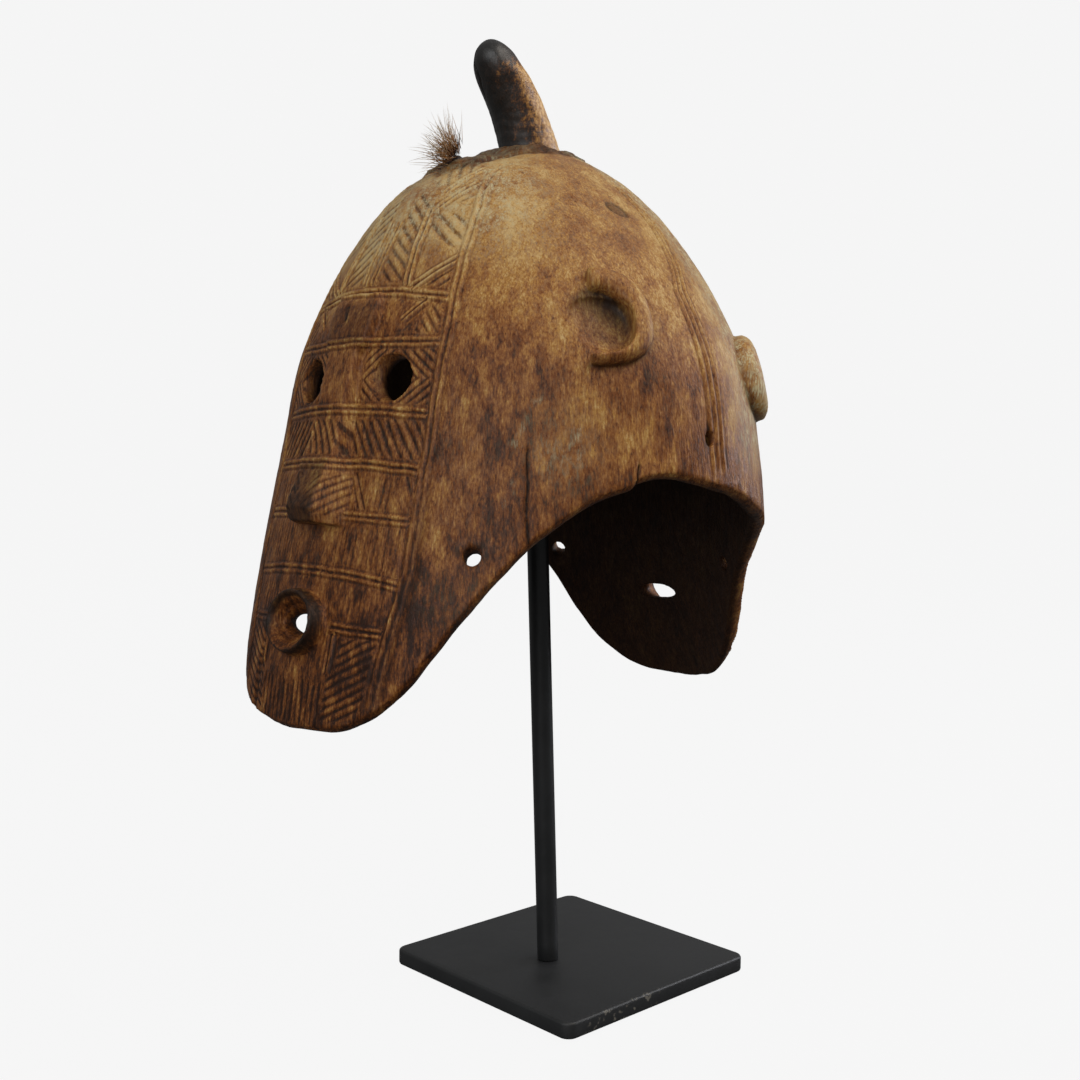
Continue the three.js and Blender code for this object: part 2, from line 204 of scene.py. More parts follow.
@dataclass(frozen=True)
class Dome:
    """The mask's outer surface: an ellipse at each height, its half-axes given by profiles."""

    depths: tuple = (20, 60, 112, 172, 231, 284, 330)
    half_width: tuple = (55, 99, 132, 146, 151, 151, 148)
    reach_front: tuple = (62, 97, 120, 133, 147, 158.5, 164)
    reach_back: tuple = (55, 80, 102, 114, 120, 134, 152)
    rim_knots: tuple = (
        (0, 181), (12, 182.5), (16.5, 185.5), (20.4, 191), (24, 198.5), (30.4, 219.5), (36, 239.5),
        (43, 260.5), (50, 277.5), (64, 299), (78, 306),
        (92, 301), (106, 290), (122, 277), (138, 254), (157, 196), (168, 181), (180, 178),
    )
    wall: float = 8.5
    wall_crown: float = 13.0

    def _profile(self, radii: Sequence[float]) -> Monotone:
        """Curve of squared radius over depth, which closes the crown smoothly."""
        knots = [(0.0, radii[0] ** 2 / self.depths[0])]
        return Monotone(knots + [(d, r * r / d) for d, r in zip(self.depths, radii)])

    def axes(self, z: np.ndarray, front: np.ndarray) -> tuple[np.ndarray, np.ndarray]:
        """Half-axes of the ellipse at heights.

        Args:
            z: heights in mm.
            front: True where the point is on the front half.

        Returns:
            Half-widths across and reaches along, in mm.
        """
        depth = np.maximum(CROWN_Z - np.asarray(z, float), 0.0)
        radii = (self.half_width, self.reach_front, self.reach_back)
        across, ahead, behind = (
            np.sqrt(np.maximum(self._profile(r)(depth) * depth, 1e-12)) for r in radii)
        return across, np.where(front, ahead, behind)

    def rim(self, angle: np.ndarray) -> np.ndarray:
        """Height of the lower rim at angles in degrees."""
        turn = np.abs((np.asarray(angle, float) + 540.0) % 360.0 - 180.0)
        return Monotone(self.rim_knots)(turn)

    def wall_at(self, z: np.ndarray) -> np.ndarray:
        """Thickness of the wall at heights, more at the crown."""
        return self.wall + (self.wall_crown - self.wall) * np.exp(-(CROWN_Z - z) / 30.0)

    def point(self, angle: np.ndarray, z: np.ndarray) -> np.ndarray:
        """Points of the surface at angles (degrees, 0 the front, +90 at +X) and heights.

        Args:
            angle: degrees round the axis.
            z: heights in mm.

        Returns:
            Positions (..., 3) in mm.
        """
        turn = np.radians(angle)
        s, c = np.sin(turn), np.cos(turn)
        across, along = self.axes(z, c > 0)
        r = 1.0 / np.hypot(s / across, c / along)
        return np.stack([r * s, AXIS_Y - r * c, z + 0.0 * r], axis=-1)

    def normal(self, angle: np.ndarray, z: np.ndarray) -> np.ndarray:
        """Outward unit normals at angles and heights.

        Args:
            angle: degrees round the axis.
            z: heights in mm.

        Returns:
            Directions (..., 3).
        """
        angle, z = np.asarray(angle, float), np.asarray(z, float)
        z = np.minimum(z, CROWN_Z - 0.6)
        round_step = self.point(angle + 0.5, z) - self.point(angle - 0.5, z)
        up_step = self.point(angle, np.minimum(z + 1.0, CROWN_Z - 0.4)) - self.point(angle, z - 1.0)
        n = np.cross(round_step, up_step)
        return n / np.linalg.norm(n, axis=-1, keepdims=True)

    def off(self, angle: np.ndarray, z: np.ndarray, proud: np.ndarray) -> np.ndarray:
        """Points that stand proud of the surface by distances in mm."""
        return self.point(angle, z) + self.normal(angle, z) * np.asarray(proud, float)[..., None]

    def face_angle(self, x: np.ndarray, z: np.ndarray, side: Side) -> np.ndarray:
        """Angle of points given by x across a face and height.

        Args:
            x: across the face, mm.
            z: heights in mm.
            side: which face.

        Returns:
            Degrees round the axis.
        """
        across, along = self.axes(z, side is Side.FRONT)
        y = along * np.sqrt(np.maximum(1.0 - (np.asarray(x, float) / across) ** 2, 0.0))
        turn = np.degrees(np.arctan2(x, y))
        return turn if side is Side.FRONT else 180.0 - turn

    def gauge(self, points: np.ndarray) -> tuple[np.ndarray, np.ndarray]:
        """Signed distance from the outer surface and the outward direction.

        Args:
            points: positions (N, 3) in mm.

        Returns:
            Distances (N,), positive outside, and unit directions (N, 3).
        """
        def level(p: np.ndarray) -> np.ndarray:
            """Size of the ellipse through points, 1 on the surface."""
            across, along = self.axes(np.minimum(p[:, 2], CROWN_Z - 0.05), p[:, 1] < AXIS_Y)
            return np.hypot(p[:, 0] / across, (p[:, 1] - AXIS_Y) / along)

        step = 0.4
        slope = np.zeros_like(points)
        for axis in range(3):
            shift = np.zeros(3)
            shift[axis] = step
            slope[:, axis] = (level(points + shift) - level(points - shift)) / (2 * step)
        size = np.maximum(np.linalg.norm(slope, axis=1), 1e-9)
        away = (level(points) - 1.0) / size
        direction = slope / size[:, None]
        top = points[:, 2] > CROWN_Z - 2.5
        away[top] = points[top, 2] - CROWN_Z + 1.0
        direction[top] = (0.0, 0.0, 1.0)
        return away, direction


DOME = Dome()


def lay_grid(bm: bmesh.types.BMesh, columns: int, rows: int, place: Place) -> None:
    """Adds a grid laid on a parametric surface.

    Args:
        bm: the mesh that gets it.
        columns: faces along u.
        rows: faces along v.
        place: takes u and v from 0 to 1 and gives positions (N, 3) in mm.
    """
    made = bmesh.ops.create_grid(bm, x_segments=columns, y_segments=rows, size=0.5)["verts"]
    flat = np.array([v.co[:2] for v in made])
    flat = (flat - flat.min(axis=0)) / np.ptp(flat, axis=0)
    for vert, spot in zip(made, place(flat[:, 0], flat[:, 1])):
        vert.co = spot


def close_up(bm: bmesh.types.BMesh, weld: float = 1e-3) -> bmesh.types.BMesh:
    """Welds seams and poles, and turns the faces outward.

    Args:
        bm: the mesh.
        weld: distance under which points become one, mm.

    Returns:
        The same mesh.
    """
    bmesh.ops.remove_doubles(bm, verts=bm.verts, dist=weld)
    bmesh.ops.dissolve_degenerate(bm, edges=bm.edges, dist=weld)
    bmesh.ops.recalc_face_normals(bm, faces=bm.faces)
    return bm


def mesh_object(name: str, bm: bmesh.types.BMesh, unit: float = MM) -> bpy.types.Object:
    """Makes a smooth-shaded object of a bmesh in mm and frees it.

    Args:
        name: the piece's name.
        bm: the mesh, in mm.
        unit: size of one mm in the object, a thousandth for a finished piece.

    Returns:
        The new object, at the origin.
    """
    bmesh.ops.scale(bm, vec=(unit, unit, unit), verts=bm.verts)
    mesh = bpy.data.meshes.new(name)
    bm.to_mesh(mesh)
    bm.free()
    mesh.polygons.foreach_set("use_smooth", np.ones(len(mesh.polygons), bool))
    obj = bpy.data.objects.new(name, mesh)
    bpy.context.scene.collection.objects.link(obj)
    return obj


def modified(obj: bpy.types.Object, kind: str, **settings: object) -> bpy.types.Object:
    """Adds a modifier with settings and applies it to the mesh.

    Args:
        obj: the object, which gets the new mesh.
        kind: the modifier's type.
        **settings: its properties.

    Returns:
        The same object.
    """
    modifier = obj.modifiers.new(kind.lower(), kind)
    for name, value in settings.items():
        setattr(modifier, name, value)
    graph = bpy.context.evaluated_depsgraph_get()
    made = bpy.data.meshes.new_from_object(obj.evaluated_get(graph))
    obj.modifiers.clear()
    old, obj.data = obj.data, made
    bpy.data.meshes.remove(old)
    return obj


def vectors(items: bpy.types.bpy_prop_collection, name: str) -> np.ndarray:
    """Reads a three-number property of many elements as an array (N, 3).

    Args:
        items: the elements, such as a mesh's vertices.
        name: the property.

    Returns:
        Its values (N, 3).
    """
    flat = np.empty(len(items) * 3, np.float32)
    items.foreach_get(name, flat)
    return flat.reshape(-1, 3).astype(float)


def store(mesh: bpy.types.Mesh, name: str, values: np.ndarray) -> None:
    """Keeps one number for each vertex as a named attribute."""
    layer = mesh.attributes.new(name, "FLOAT", "POINT")
    layer.data.foreach_set("value", np.asarray(values, np.float32))


def linear(hex_colour: str) -> tuple[float, float, float, float]:
    """Turns an sRGB hex colour into linear RGBA.

    Args:
        hex_colour: such as #12AB9F.

    Returns:
        Red, green, blue and alpha from 0 to 1.
    """
    channels = [int(hex_colour[i:i + 2], 16) / 255.0 for i in (1, 3, 5)]
    rgb = [c / 12.92 if c <= 0.04045 else ((c + 0.055) / 1.055) ** 2.4 for c in channels]
    return (rgb[0], rgb[1], rgb[2], 1.0)


class Graph:
    """A material's node tree, filled one node at a time."""

    def __init__(self, name: str) -> None:
        """Starts a material with an empty node tree.

        Args:
            name: the material's name.
        """
        self.material = bpy.data.materials.new(name)
        self.material.use_nodes = True
        self.tree = self.material.node_tree
        self.tree.nodes.clear()

    def add(self, kind: str, inputs: Optional[dict] = None,
            ramp: Sequence[tuple[float, str]] = (), **settings: object) -> bpy.types.Node:
        """Adds a node.

        Args:
            kind: the node's type name, without its ShaderNode prefix.
            inputs: value, node (its first output) or (node, output) for each socket.
            ramp: positions and hex colours of a colour ramp.
            **settings: the node's properties.

        Returns:
            The new node.
        """
        node = self.tree.nodes.new("ShaderNode" + kind)
        for name, value in settings.items():
            setattr(node, name, value)
        for k, (position, colour) in enumerate(ramp):
            stops = node.color_ramp.elements
            stop = stops[k] if k < len(stops) else stops.new(position)
            stop.position, stop.color = position, linear(colour)
        for socket, value in (inputs or {}).items():
            source = (value, 0) if isinstance(value, bpy.types.Node) else value
            if isinstance(source, tuple) and isinstance(source[0], bpy.types.Node):
                self.tree.links.new(source[0].outputs[source[1]], node.inputs[socket])
            elif isinstance(value, str):
                node.inputs[socket].default_value = linear(value)
            else:
                node.inputs[socket].default_value = value
        return node

    def finish(self, shader: bpy.types.Node) -> bpy.types.Material:
        """Links the shader to the output and returns the material."""
        self.add("OutputMaterial", {"Surface": shader})
        return self.material


class LineKind(Enum):
    """How a carved line is cut."""

    PAIR = "two raised lines with a groove between"
    SINGLE = "one raised line"


@dataclass(frozen=True)
class Line:
    """A carved line along straight runs on a face."""

    path: tuple  # (x, z) points in mm
    kind: LineKind = LineKind.PAIR
    strength: float = 1.0
    mirrored: bool = True


@dataclass(frozen=True)
class Hatch:
    """A field of parallel strokes inside a convex outline on a face."""

    corners: tuple  # (x, z) in mm
    slant: float  # direction of the strokes, degrees from +x
    pitch: float  # mm between strokes
    depth: float = 0.75
    mirrored: bool = True


@dataclass
class Relief:
    """What the carving does at each point of a face."""

    height: np.ndarray
    cycle: np.ndarray
    hatch: np.ndarray
    line_at: np.ndarray
    line_on: np.ndarray


@dataclass(frozen=True)
class FaceCarving:
    """The carved bands, borders and hatched fields of a face; x is across, z is height, mm."""

    side: Side
    band_ends: tuple = (393.5, 371, 335.5, 308, 283.5, 252.5, 229.5)
    band_bow: tuple = (5, 1, 3, 3.5, 2, 5, 1.5)
    band_from: tuple = (0, 0, 0, 0, 21, 0, 24)  # where bands stop beside the nose or the mouth
    back_bands: tuple = (0, 1, 1, 0, 1, 1, 1)
    border: tuple = ((186, 52), (212, 55), (235, 58), (262, 61), (340, 60), (378, 59), (395, 56),
                     (415, 52), (438, 46), (464, 34))
    border_low: float = 196.0
    border_high: float = 466.0
    half_pitch: float = 1.5  # from the middle of a band to each of its two lines
    line_width: float = 0.68
    proud: float = 0.8
    sink: float = 0.6
    eye: tuple = (36.0, 353.0, 19.0, 16.0)  # middle and half-diagonals of the eye's lozenge
    lozenge_pitch: float = 3.6

    def lines(self) -> tuple[Line, ...]:
        """The slanted and upright lines between the bands.

        Returns:
            The lines in the order they are cut.
        """
        if self.side is Side.BACK:
            return (
                Line(((3.2, 376), (3.2, 440))),
                Line(((22, 441), (30, 376))),
                Line(((31, 376), (53, 412))),
            )
        return (
            Line(((3.4, 401), (3.4, 436)), strength=0.7),
            Line(((21.5, 442), (25, 420), (28.8, 401))),
            Line(((32.5, 400), (53, 415))),
            Line(((23.5, 441), (37, 457)), strength=0.8),
            Line(((23.5, 452), (29, 465)), strength=0.7),
            Line(((35, 382), (45, 392)), LineKind.SINGLE),
            Line(((28, 209), (28.3, 228)), LineKind.SINGLE),
        )

    def hatches(self) -> tuple[Hatch, ...]:
        """The hatched fields between the bands.

        Returns:
            The fields in the order they are cut.
        """
        shared = (
            Hatch(((16, 281), (60, 280), (60, 257), (16, 259.5)), 90, 3.1, 0.26),
            Hatch(((24, 250), (58, 249), (57, 233), (24, 234)), 88, 3.2, 0.26),
            Hatch(((30, 226), (55, 227), (55, 204), (46, 186), (25, 184)), 28, 4.1, 0.7),
            Hatch(((-26, 181), (26, 181), (25, 204), (-25, 204)), 90, 4.0, 0.55, False),
        )
        if self.side is Side.BACK:
            return shared + (
                Hatch(((6, 376), (28, 376), (21, 442), (6, 450)), -36, 4.8),
                Hatch(((35, 376), (56, 376), (53, 407)), 37, 4.6),
                Hatch(((20, 333), (60, 333), (60, 290), (20, 290)), -57, 4.6),
            )
        return shared + (
            Hatch(((6, 403), (27, 403), (21, 446), (6, 454)), -36, 4.8),
            Hatch(((26, 426), (52, 417), (46, 436), (25, 444)), -35, 5.0),
            Hatch(((36.5, 399.5), (53, 397), (53, 411)), 37, 4.4, 0.9),
            Hatch(((26, 447), (44, 441), (38, 456)), 38, 4.5, 0.5),
            Hatch(((8, 456), (22, 455), (29, 468), (12, 471)), -48, 4.5, 0.6),
            Hatch(((35, 390.5), (46, 391), (38, 375), (35, 376)), 50, 3.9, 0.6),
            Hatch(((47, 391), (56, 389), (57, 375), (40, 374.5)), -48, 3.9, 0.6),
            Hatch(((-14, 333), (60, 333), (60, 313), (-14, 315)), -57, 4.5, 0.75, False),
            Hatch(((-15, 333), (-59, 333), (-59, 312), (-15, 314)), 55, 4.5, 0.75, False),
            Hatch(((3, 307), (24, 306), (21, 284), (3, 287)), 38, 3.6, 0.5),
            Hatch(((19, 306), (24, 306), (35, 288), (27, 288)), -60, 3.6, 0.7),
            Hatch(((36, 305), (50, 305), (48, 288), (38, 288)), 88, 3.5, 0.35),
            Hatch(((51, 305), (60, 305), (61, 288), (57, 288)), -66, 3.4, 0.6),
        )

    def border_x(self, z: np.ndarray) -> np.ndarray:
        """Where the face's border stands at each height."""
        return Monotone(self.border)(z)

    def band_z(self, k: int, x: np.ndarray) -> np.ndarray:
        """Height of a band at each x."""
        edge = float(self.border_x(self.band_ends[k]))
        return self.band_ends[k] + self.band_bow[k] * (1.0 - (x / edge) ** 2)

    @staticmethod
    def along(path: Sequence[Sequence[float]], x: np.ndarray,
              z: np.ndarray) -> tuple[np.ndarray, np.ndarray]:
        """Signed distance from a path of straight runs, and how far past its ends.

        Args:
            path: (x, z) points.
            x: across, mm.
            z: height, mm.

        Returns:
            Signed distances and overshoots past the ends, in mm.
        """
        best = np.full(len(x), 1e9)
        signed = np.full(len(x), 1e3)
        over = np.full(len(x), 1e3)
        for (x0, z0), (x1, z1) in zip(path, path[1:]):
            length = math.hypot(x1 - x0, z1 - z0)
            tx, tz = (x1 - x0) / length, (z1 - z0) / length
            run = (x - x0) * tx + (z - z0) * tz
            off = (z - z0) * tx - (x - x0) * tz
            past = np.maximum(np.maximum(-run, run - length), 0.0)
            away = np.hypot(off, past)
            nearer = away < best
            best = np.where(nearer, away, best)
            signed = np.where(nearer, off, signed)
            over = np.where(nearer, past, over)
        return signed, over

    def profile(self, u: np.ndarray, kind: LineKind) -> np.ndarray:
        """Height of a line's section at signed distances u from its middle.

        Args:
            u: distances, mm.
            kind: how the line is cut.

        Returns:
            Heights in mm, below 0 in a groove.
        """
        if kind is LineKind.SINGLE:
            return self.proud * bump(u, self.line_width) - 0.4 * bump(np.abs(u) - 2.0, 0.8)
        ridges = sum(bump(u + way * self.half_pitch, self.line_width) for way in (-1, 1))
        outer = bump(np.abs(u) - self.half_pitch - 1.9, 0.9)
        return self.proud * ridges - self.sink * bump(u, 0.75) - 0.45 * outer

    def relief(self, x: np.ndarray, z: np.ndarray, noise: Noise) -> Relief:
        """Works out the carving at points of the face.

        Args:
            x: across the face, mm.
            z: height, mm.
            noise: makes the hand-cut unevenness.

        Returns:
            Heights in mm and the fields that the finish draws its lines by.
        """
        flat = np.stack([x, np.full_like(x, 7.0 * self.side.value), z], axis=1)
        wander = 0.45 * noise.at(flat, 9.0)
        size = np.abs(x)
        edge = self.border_x(z)
        inside = smoothstep(-0.5, -2.5, size - edge) * smoothstep(176.0, 184.0, z)
        inside *= smoothstep(self.border_high + 6, self.border_high, z)
        height = np.zeros(len(x))
        cycle, hatch = np.zeros(len(x)), np.zeros(len(x))
        worn = 0.75 + 0.25 * noise.at(flat + 50.0, 14.0)
        for item in self.hatches():
            px = size if item.mirrored else x
            corners = np.array(item.corners, float)
            middle = corners.mean(axis=0)
            within = np.full(len(x), 1e3)
            for a, b in zip(corners, np.roll(corners, -1, axis=0)):
                t = (b - a) / np.linalg.norm(b - a)
                gap = (px - a[0]) * -t[1] + (z - a[1]) * t[0]
                inward = (middle[0] - a[0]) * -t[1] + (middle[1] - a[1]) * t[0]
                within = np.minimum(within, gap * np.sign(inward))
            turn = math.radians(item.slant)
            phase = (-px * math.sin(turn) + z * math.cos(turn) + wander) / item.pitch
            number = np.stack([np.floor(phase + 0.5) * 3.1, 0 * px, 0 * z], axis=1) + 0.37
            ragged = 1.2 * noise.at(number, 1.7)
            on = smoothstep(-0.2 + ragged, 1.2 + ragged, within)
            stroke = (0.5 + 0.5 * np.cos(2 * math.pi * phase)) ** 1.5
            height -= item.depth * stroke * on * worn
            cycle = np.where(on > hatch, phase, cycle)
            hatch = np.where(on > hatch, on * min(1.0, item.depth / 0.7), hatch)
        ex, ez, ea, eb = self.eye
        level = np.abs(size - ex) / ea + np.abs(z - ez) / eb
        phase = level * (ea * eb / math.hypot(ea, eb)) / self.lozenge_pitch + 0.5
        on = smoothstep(15.0, 17.0, size) * inside
        on = on * smoothstep(339.5, 341.0, z) * smoothstep(369.8, 368.4, z)
        height -= 0.6 * (0.5 + 0.5 * np.cos(2 * math.pi * (phase + wander / 5))) ** 1.5 * on
        cycle = np.where(on > hatch, phase, cycle)
        hatch = np.maximum(hatch, on)
        line_at, line_on = np.full(len(x), 9.0), np.zeros(len(x))

        def draw(u: np.ndarray, on: np.ndarray, kind: LineKind, strength: np.ndarray) -> None:
            """Cuts one line over what is there.

            Args:
                u: signed distance from its middle, mm.
                on: weight of where it runs.
                kind: how it is cut.
                strength: 1 for full depth.
            """
            nonlocal height, line_at, line_on, hatch
            near = smoothstep(4.6, 3.2, np.abs(u)) * on
            height = height * (1.0 - near) + self.profile(u, kind) * near * strength
            hatch = hatch * (1.0 - near)
            code = u if kind is LineKind.PAIR else u - self.half_pitch
            line_at = np.where(near * strength > line_on, code, line_at)
            line_on = np.maximum(line_on, near * strength)

        for item in self.lines():
            u, over = self.along(item.path, size if item.mirrored else x, z)
            draw(u + wander, smoothstep(1.6, 0.2, over) * inside, item.kind, item.strength)
        for k, start in enumerate(self.band_from):
            if self.side is Side.BACK and not self.back_bands[k]:
                continue
            on = smoothstep(start - 0.5, start + 0.5, size) if start else 1.0
            on = on * smoothstep(-0.2, -1.8, size - edge)
            strength = 0.8 + 0.2 * noise.at(flat + 11.0 * k, 17.0)
            draw(z - self.band_z(k, x) + wander, on, LineKind.PAIR, strength)
        u = size - edge - self.half_pitch - 0.4 + wander
        upper = smoothstep(268.0, 318.0, z)
        draw(u, upper * smoothstep(self.border_high + 4, self.border_high - 6, z),
             LineKind.PAIR, 0.65)
        lower = (1.0 - upper) * smoothstep(self.border_low - 6, self.border_low + 4, z)
        draw(u + 1.4, lower, LineKind.SINGLE, 0.75)
        height -= 0.9 * bump(u - 2.6, 2.6) * lower
        return Relief(height, cycle, hatch, line_at, line_on)


@dataclass(frozen=True)
class Crack:
    """A split or slot in the wood along (angle, z) points on the dome."""

    path: tuple
    width: float
    depth: float


@dataclass(frozen=True)
class MaskBody:
    """The mask itself: hollow dome, noses, mouths, ears, holes and all its carving."""

    node: str = "mask"
    voxel: float = 0.9
    triangles: int = 196000
    eye: tuple = (34.0, 354.0, 14.3, 12.5)
    eye_hole: tuple = (10.0, 11.0, 2.2)  # half-width, half-height, outward shift
    nose: tuple = (  # height, half-width at the foot, half-width on top, how far it stands proud
        (279.5, 24, 8, 12), (286, 25, 8.5, 15.2), (309, 23, 11, 9.5), (318, 16, 11, 7.5),
        (337, 15, 10, 6.5),
        (366, 14, 11, 4.5), (371, 19, 15, 5), (384, 20, 17, 5), (397, 19, 16, 3.5))
    mouth_z: float = 231.0
    ring_stretch: float = 1.22  # the mouth's width over its height
    ring: tuple = ((18.8, -3), (17.0, 1.5), (16.3, 4.6), (15.9, 6.4), (15.2, 7.2), (14.0, 6.9),
                   (13.2, 4.6))
    funnel: tuple = ((17.8, 14.2, 9), (17.1, 13.6, 6.4), (13.6, 9.2, 0.5), (12.5, 6.0, -3),
                     (12.7, 4.8, -5), (15.0, 5.2, -8.5), (17.0, 6.0, -14))
    ear_angle: float = 62.0
    ear_span: float = 12.6
    ear_rise: tuple = (22.4, 21.0)
    ear_thick: float = 8.4
    ear_power: float = 0.78  # 1 for round ears, less for squarer ones
    ear_arc: tuple = (-92.0, 89.0)  # where the half-ring starts below and ends above, degrees
    ear_proud: float = 9.0
    ear_tip: float = 7.2
    ear_z: tuple = (383.0, 358.0)
    bowl: tuple = (18.9, 17.0, 4.4, 0.13, 0.08)  # half-width, half-height, depth, leans
    bowl_angle: float = 62.6
    bowl_drop: float = 4.4  # below the middle of the ear
    cord_holes: tuple = ((38, 268, 4.2), (145, 257, 4.2))
    side_hole: tuple = (87, 325, 2.8, 4.0)
    crust: tuple = (-8.0, 33.0, 60.0, 1.6)
    cracks: tuple = (
        Crack(((-11.6, 223), (-12.4, 206), (-13.3, 176)), 1.7, 3.4),
        Crack(((48.3, 274), (48.0, 295), (48.3, 318)), 0.5, 1.6),
        Crack(((69.3, 298), (70.0, 311)), 0.6, 2.2),
        Crack(((-2.1, 384.8), (-2.3, 390.2)), 1.5, 2.2),
        Crack(((-63, 292), (-62.5, 322)), 0.6, 1.8),
        Crack(((112, 282), (113, 306)), 0.6, 1.8),
        Crack(((170, 176), (169, 199)), 0.9, 2.4),
    )
    plug: tuple = (82.0, 444.0, 7.0, 3.2, -0.3)  # angle, height, half-length, half-width, tilt
    age_line: tuple = (  # degrees from a face, height where the pale crown turns dark
        (0, 392), (25, 384), (40, 378), (54, 356), (65, 350), (80, 352), (95, 335), (110, 312),
        (135, 312), (160, 370), (180, 385))
    stains: tuple = (  # degrees from the front, height, half-widths of both, darker by
        (73, 356, 11, 17, 0.16), (41, 362, 9, 24, 0.11), (45, 298, 8, 18, 0.08),
        (28, 235, 8, 30, 0.08), (62, 442, 10, 16, 0.07), (66, 330, 9, 15, -0.2),
        (35, 318, 5, 14, -0.1), (53, 414, 8, 12, -0.07), (86, 430, 9, 18, -0.06))
    scratches: tuple = (  # pale scratches: degrees from the front, height
        ((50.8, 343), (47.8, 334.8), (46.4, 326), (45.9, 319.5)),
        ((45.5, 303), (43.8, 294)), ((59, 329), (57.5, 323), (58.5, 314)))
    flank_pitch: float = 4.2  # between the upright lines of a flank, mm
    plug_degree: float = 2.05  # mm round the dome for a degree, at the plug
    flank_degree: float = 2.55
    scratch_degree: float = 2.4
    ear_degree: float = 2.5

    def shell(self, noise: Noise) -> bmesh.types.BMesh:
        """The hollow dome with its rounded rim, as one closed skin.

        Args:
            noise: makes the rim uneven.

        Returns:
            The skin, in mm.
        """
        outside, rim, hollow = 0.55, 0.07, 0.38  # shares of v

        def place(u: np.ndarray, v: np.ndarray) -> np.ndarray:
            """Lays the skin of the dome.

            Args:
                u: round the dome, 0 to 1.
                v: down the outside, round the rim and up the inside, 0 to 1.

            Returns:
                Positions (N, 3), mm.
            """
            angle = u * 360.0 - 180.0
            turn = np.radians(angle)
            ring = np.stack([60 * np.sin(turn), 60 * np.cos(turn), 0 * u], axis=1)
            start = DOME.rim(angle) + 1.5 + 0.9 * noise.layered(ring, 11.0, 2)
            start += 2.2 * smoothstep(68.6, 69.6, angle) * smoothstep(86, 73, angle)
            t = np.clip(v / outside, 0, 1)
            outer = DOME.point(angle, CROWN_Z - (CROWN_Z - start) * t**1.7)
            s = np.clip((1.0 - v) / hollow, 0, 1)
            z_in = CROWN_Z - (CROWN_Z - start) * s**1.8
            inner = DOME.off(angle, z_in, -DOME.wall_at(z_in))
            inner[s < 1e-6] = (0.0, AXIS_Y, CROWN_Z - DOME.wall_crown)
            a = np.clip((v - outside) / rim, 0, 1) * math.pi
            n = DOME.normal(angle, start)
            middle = DOME.point(angle, start) - n * DOME.wall / 2
            lip = middle + n * (np.cos(a) * DOME.wall / 2)[:, None]
            lip[:, 2] -= np.sin(a) * 4.1
            lower = np.where((v < 1.0 - hollow)[:, None], lip, inner)
            return np.where((v <= outside)[:, None], outer, lower)

        bm = bmesh.new()
        lay_grid(bm, 300, 200, place)
        return close_up(bm)

    @staticmethod
    def frame(angle: float, z: float) -> Callable[..., np.ndarray]:
        """Axes of a feature on the dome: sideways, upward and outward from the surface.

        Args:
            angle: degrees round the axis.
            z: height in mm.

        Returns:
            A function of three distances (N,) that gives positions (N, 3).
        """
        at, n = DOME.point(angle, z), DOME.normal(angle, z)
        u = np.cross((0.0, 0.0, 1.0), n)
        u /= np.linalg.norm(u)
        v = np.cross(n, u)
        return lambda du, dv, dn: at + du[:, None] * u + dv[:, None] * v + dn[:, None] * n

    @staticmethod
    def from_front(side: Side, angle: Union[float, np.ndarray]) -> Union[float, np.ndarray]:
        """Angle from the front of a place given by its angle from a side's own face."""
        return angle if side is Side.FRONT else 180.0 - angle

    def on_face(self, x: float, z: float, side: Side) -> Callable[..., np.ndarray]:
        """Axes of a feature given by x across a face and height."""
        return self.frame(float(DOME.face_angle(x, z, side)), z)

    @staticmethod
    def turned(bm: bmesh.types.BMesh, place: Callable[..., np.ndarray],
               stations: Sequence[Sequence[float]], columns: int = 48,
               power: float = 1.0) -> None:
        """Adds a closed form turned about a feature's outward axis.

        Args:
            bm: the mesh that gets it.
            place: the feature's axes.
            stations: half-width, half-height, distance out, and shifts sideways and up if any.
            columns: faces round it.
            power: 1 for a round section, less for a squarer one.
        """
        rows = [tuple(s) + (0.0,) * (5 - len(s)) for s in stations]
        rows = [(0.0, 0.0) + rows[0][2:]] + rows + [(0.0, 0.0) + rows[-1][2:]]
        table = np.array(rows, float)
        steps = np.arange(len(table))

        def at(u: np.ndarray, v: np.ndarray) -> np.ndarray:
            """Lays the turned form.

            Args:
                u: round the axis, 0 to 1.
                v: along the stations, 0 to 1.

            Returns:
                Positions (N, 3), mm.
            """
            k = v * steps[-1]
            wide, tall, out, aside, up = (np.interp(k, steps, table[:, c]) for c in range(5))
            turn = u * 2 * math.pi
            c, s = (signed_power(part, power) for part in (np.cos(turn), np.sin(turn)))
            return place(aside + wide * c, up + tall * s, out)

        lay_grid(bm, columns, int(steps[-1]) * 2, at)

